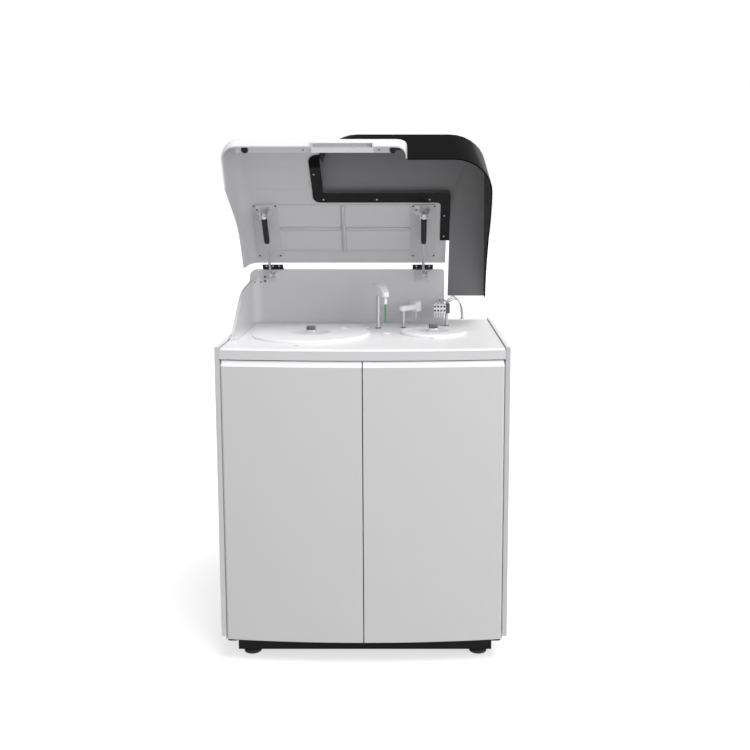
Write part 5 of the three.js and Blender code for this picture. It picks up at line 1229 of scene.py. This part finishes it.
class ANALYSER_OT_base(Step, Operator):
    """Levelling feet with ribbed rubber pads and lock nuts, and the rear's louvres, pins and screws"""

    bl_idname = "analyser.base"
    bl_label = "Feet and rear"

    def execute(self, context):
        hexagon = circle(6)
        for front, y in (("front", 77.0), ("rear", 560.0)):
            for side, name in SIDES:
                node, at = f"foot_{front}_{name}", (side * FOOT_X, y)
                make_piece(f"{node}_pad", turned(FOOT_PAD, at, 48), "foot", "cabinet", node, True)
                nut = at + NUT_RADIUS * np.column_stack([np.cos(hexagon), np.sin(hexagon)])
                stem = joined(turned(FOOT_STEM, at, 32), pillow(nut, 11.8, 17.2, 0.7, 3))
                make_piece(f"{node}_stem", stem, "screw", "cabinet", node)

        pitch = context.scene.analyser_sizes.louvre_pitch
        blades = []
        for side, first in ((-1, LOUVRE_LOW), (1, LOUVRE_LOW + LOUVRE_COUNT * pitch)):
            ends = (side * LOUVRE_X - LOUVRE_HALF, side * LOUVRE_X + LOUVRE_HALF)
            for k in range(LOUVRE_COUNT):
                blade = np.add(LOUVRE_BLADE, (REAR, first + k * pitch))
                blades.append(swept(np.roll(stacked([blade, blade], ends), 1, -1)))
        make_piece("rear_louvre_blades", blades, "panel", "cabinet", "rear_panel")
        sheet = dress_node("rear_panel", "panel").data
        points = np.empty(len(sheet.vertices) * 3)
        sheet.vertices.foreach_get("co", points)
        depth = points[1::3]
        back = depth.max()
        depth[depth > back - 0.1 * MM] = back - REAR_SINK * MM
        sheet.vertices.foreach_set("co", points)
        places = [(x, REAR - REAR_SINK, z) for x in (-388, 388) for z in SIDE_SCREWS]
        places += [(x, REAR - REAR_SINK, z) for x in (-200, 0, 200) for z in EDGE_SCREWS]
        screws("rear_panel_screws", places, (0, 1, 0), 4.0, "screw", "cabinet", "rear_panel", dome=0.16)
        pins = [slab(x - 1, x + 1, 622, 634, z - 3, z + 3, 0.5, 0.3) for x, z in INLET_PINS]
        make_piece("power_inlet_pins", pins, "steel", "cabinet", "power_inlet")
        return {"FINISHED"}


CUP = [[7.2, -38], [8.4, -38], [8.8, -2], [10.8, -1.4], [10.8, 0.6], [8.0, 0.6], [7.8, -36]]
CUP_TOP = 904.6
INNER_CUPS, INNER_RING, OUTER_RING = 16, 108, 142
CUVETTES = 30
TANK_Y, TANK_LOW, TANK_HIGH = 330.0, 74.3, 344.3
TANK_HALF, TANK_CORNER, TANK_BELTS = (85, 120), 22, (150, 230)
PUMP_X, PUMP_Y, PUMP_LOW = -260.0, 120.0, 640.3
SYRINGE_X, SYRINGE_OUT = 37.5, 11
SYRINGE_BARREL = [(0, -78), (10.4, -78), (11, -77), (11, -26), (0, -26)]


def tank_outline(x, inset):
    """A tank's outline about its middle, drawn in by an inset."""
    half_x, half_y = TANK_HALF[0] - inset, TANK_HALF[1] - inset
    return rounded_box(x - half_x, x + half_x, TANK_Y - half_y, TANK_Y + half_y, TANK_CORNER, 6)


class ANALYSER_OT_inside(Step, Operator):
    """What stands inside: sample cups, cuvettes, tanks with ribbed caps, and the syringe pump's glass"""

    bl_idname = "analyser.inside"
    bl_label = "Rotors, tanks and pump"

    def execute(self, context):
        rings = ((OUTER_RING, context.scene.analyser_sizes.cup_count), (INNER_RING, INNER_CUPS))
        cups = []
        for ring, count in rings:
            for k in range(count):
                at = about(SAMPLE_WELL, ring, 360 * k / count)
                cups.append(turned(np.add(CUP, (0, CUP_TOP)), at, 18, closed=True))
        make_piece("sample_cups", cups, "cup", "sample_rotor", "sample_rotor")
        cells = []
        for turn in circle(CUVETTES):
            cos, sin = math.cos(turn), math.sin(turn)
            outline = rounded_box(73.9, 85.1, -3.6, 3.6, 0.8, 2) @ np.array([[cos, sin], [-sin, cos]])
            cells.append(pillow(outline + np.array(REACTION_WELL), 874, 905.5, 0.5, 2))
        make_piece("reaction_cuvettes", cells, "cup", "reaction_rotor", "reaction_rotor")

        low, high = TANK_LOW, TANK_HIGH
        rows = [(low, 5.5), (low + 2, 2), (low + 5.5, 0), (high - 40, 0), (high - 37, 1.5)]
        bend = np.linspace(0.15, 1.5, 8)
        rows += [(high - 30 + 26 * math.sin(a), 1.5 + 36 * (1 - math.cos(a))) for a in bend]
        angle = circle(120)
        ribbed = 30.2 + 0.8 * np.sign(np.sin(angle * 30))
        ring = np.column_stack([ribbed * np.cos(angle), ribbed * np.sin(angle)])
        for node, x, cap in (("water_tank", -270.0, "cap_blue"), ("waste_tank", -70.0, "cap_red")):
            at = (x, TANK_Y)
            body = swept(stacked([tank_outline(x, inset) for _, inset in rows], [z for z, _ in rows]))
            make_piece(f"{node}_body", body, "tank", "cabinet", node, True, smooth_angle=50)
            belts = [slab(x - 85.6, x + 85.6, TANK_Y - 120.6, TANK_Y + 120.6, z, z + 4, TANK_CORNER, 1.2)
                     for z in TANK_BELTS]
            parts = (
                ("neck", cylinder(at, 26, high - 6, high + 12, 40), "tank"),
                ("cap", pillow(ring + at, high + 11, high + 35, 1.4, 3), cap),
                ("ribs", belts, "tank"),
            )
            make_parts(node, parts, "cabinet", node)

        x, y, low = PUMP_X, PUMP_Y, PUMP_LOW
        top = low + 102
        parts = [("pump_body", slab(x - 75, x + 75, y, y + 90, low, low + 122, 6, 1.0), "aluminium")]
        for k, at in enumerate((x - SYRINGE_X, x + SYRINGE_X)):
            axis = (at, y - SYRINGE_OUT)
            ends = [slab(at - 13, at + 13, y - 2 * SYRINGE_OUT, y + 0.1, z0, z1, 3, 1)
                    for z0, z1 in ((top - 26.2, top), (top - 91, top - 77.8))]
            parts += [
                (f"barrel_{k + 1}", turned(np.add(SYRINGE_BARREL, (0, top)), axis, 40), "glass"),
                (f"ends_{k + 1}", [*ends, cylinder(axis, 4, top, top + 9, 24)], "arm"),
            ]
        face = slab(x - 68, x + 68, y - 1.2, y + 0.1, low + 6, low + 10, 2, 0.3)
        parts.append(("pump_trim", face, "grey_plastic"))
        make_parts("syringe", parts, "cabinet", "syringe_pump", "pump_body")
        return {"FINISHED"}


STEPS = (
    ANALYSER_OT_studio, ANALYSER_OT_hoses, ANALYSER_OT_shells, ANALYSER_OT_doors, ANALYSER_OT_worktop,
    ANALYSER_OT_lid, ANALYSER_OT_springs, ANALYSER_OT_arms, ANALYSER_OT_base, ANALYSER_OT_inside,
)
GROUPS = {
    "analyser_sizes": AnalyserSizes,
    "analyser_studio": AnalyserStudio,
    "analyser_finishes": AnalyserFinishes,
}


class ANALYSER_PT_sidebar(Panel):
    """Lists the steps and the sizes and colours that they use"""

    bl_idname = "ANALYSER_PT_sidebar"
    bl_label = "Chemistry analyser"
    bl_space_type = "VIEW_3D"
    bl_region_type = "UI"
    bl_category = "Analyser"

    def draw(self, context):
        column = self.layout.column(align=True)
        for step in STEPS:
            column.operator(step.bl_idname)
        for name, group in GROUPS.items():
            box = self.layout.box()
            for key in group.__annotations__:
                box.prop(getattr(context.scene, name), key)


CLASSES = (*GROUPS.values(), *STEPS, ANALYSER_PT_sidebar)


def register():
    for made in CLASSES:
        bpy.utils.register_class(made)
    for name, group in GROUPS.items():
        setattr(bpy.types.Scene, name, PointerProperty(type=group))


def unregister():
    for name in GROUPS:
        delattr(bpy.types.Scene, name)
    for made in reversed(CLASSES):
        bpy.utils.unregister_class(made)


def main():
    register()
    for step in STEPS:
        group, name = step.bl_idname.split(".")
        getattr(getattr(bpy.ops, group), name)()
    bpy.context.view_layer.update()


if __name__ == "__main__":
    main()
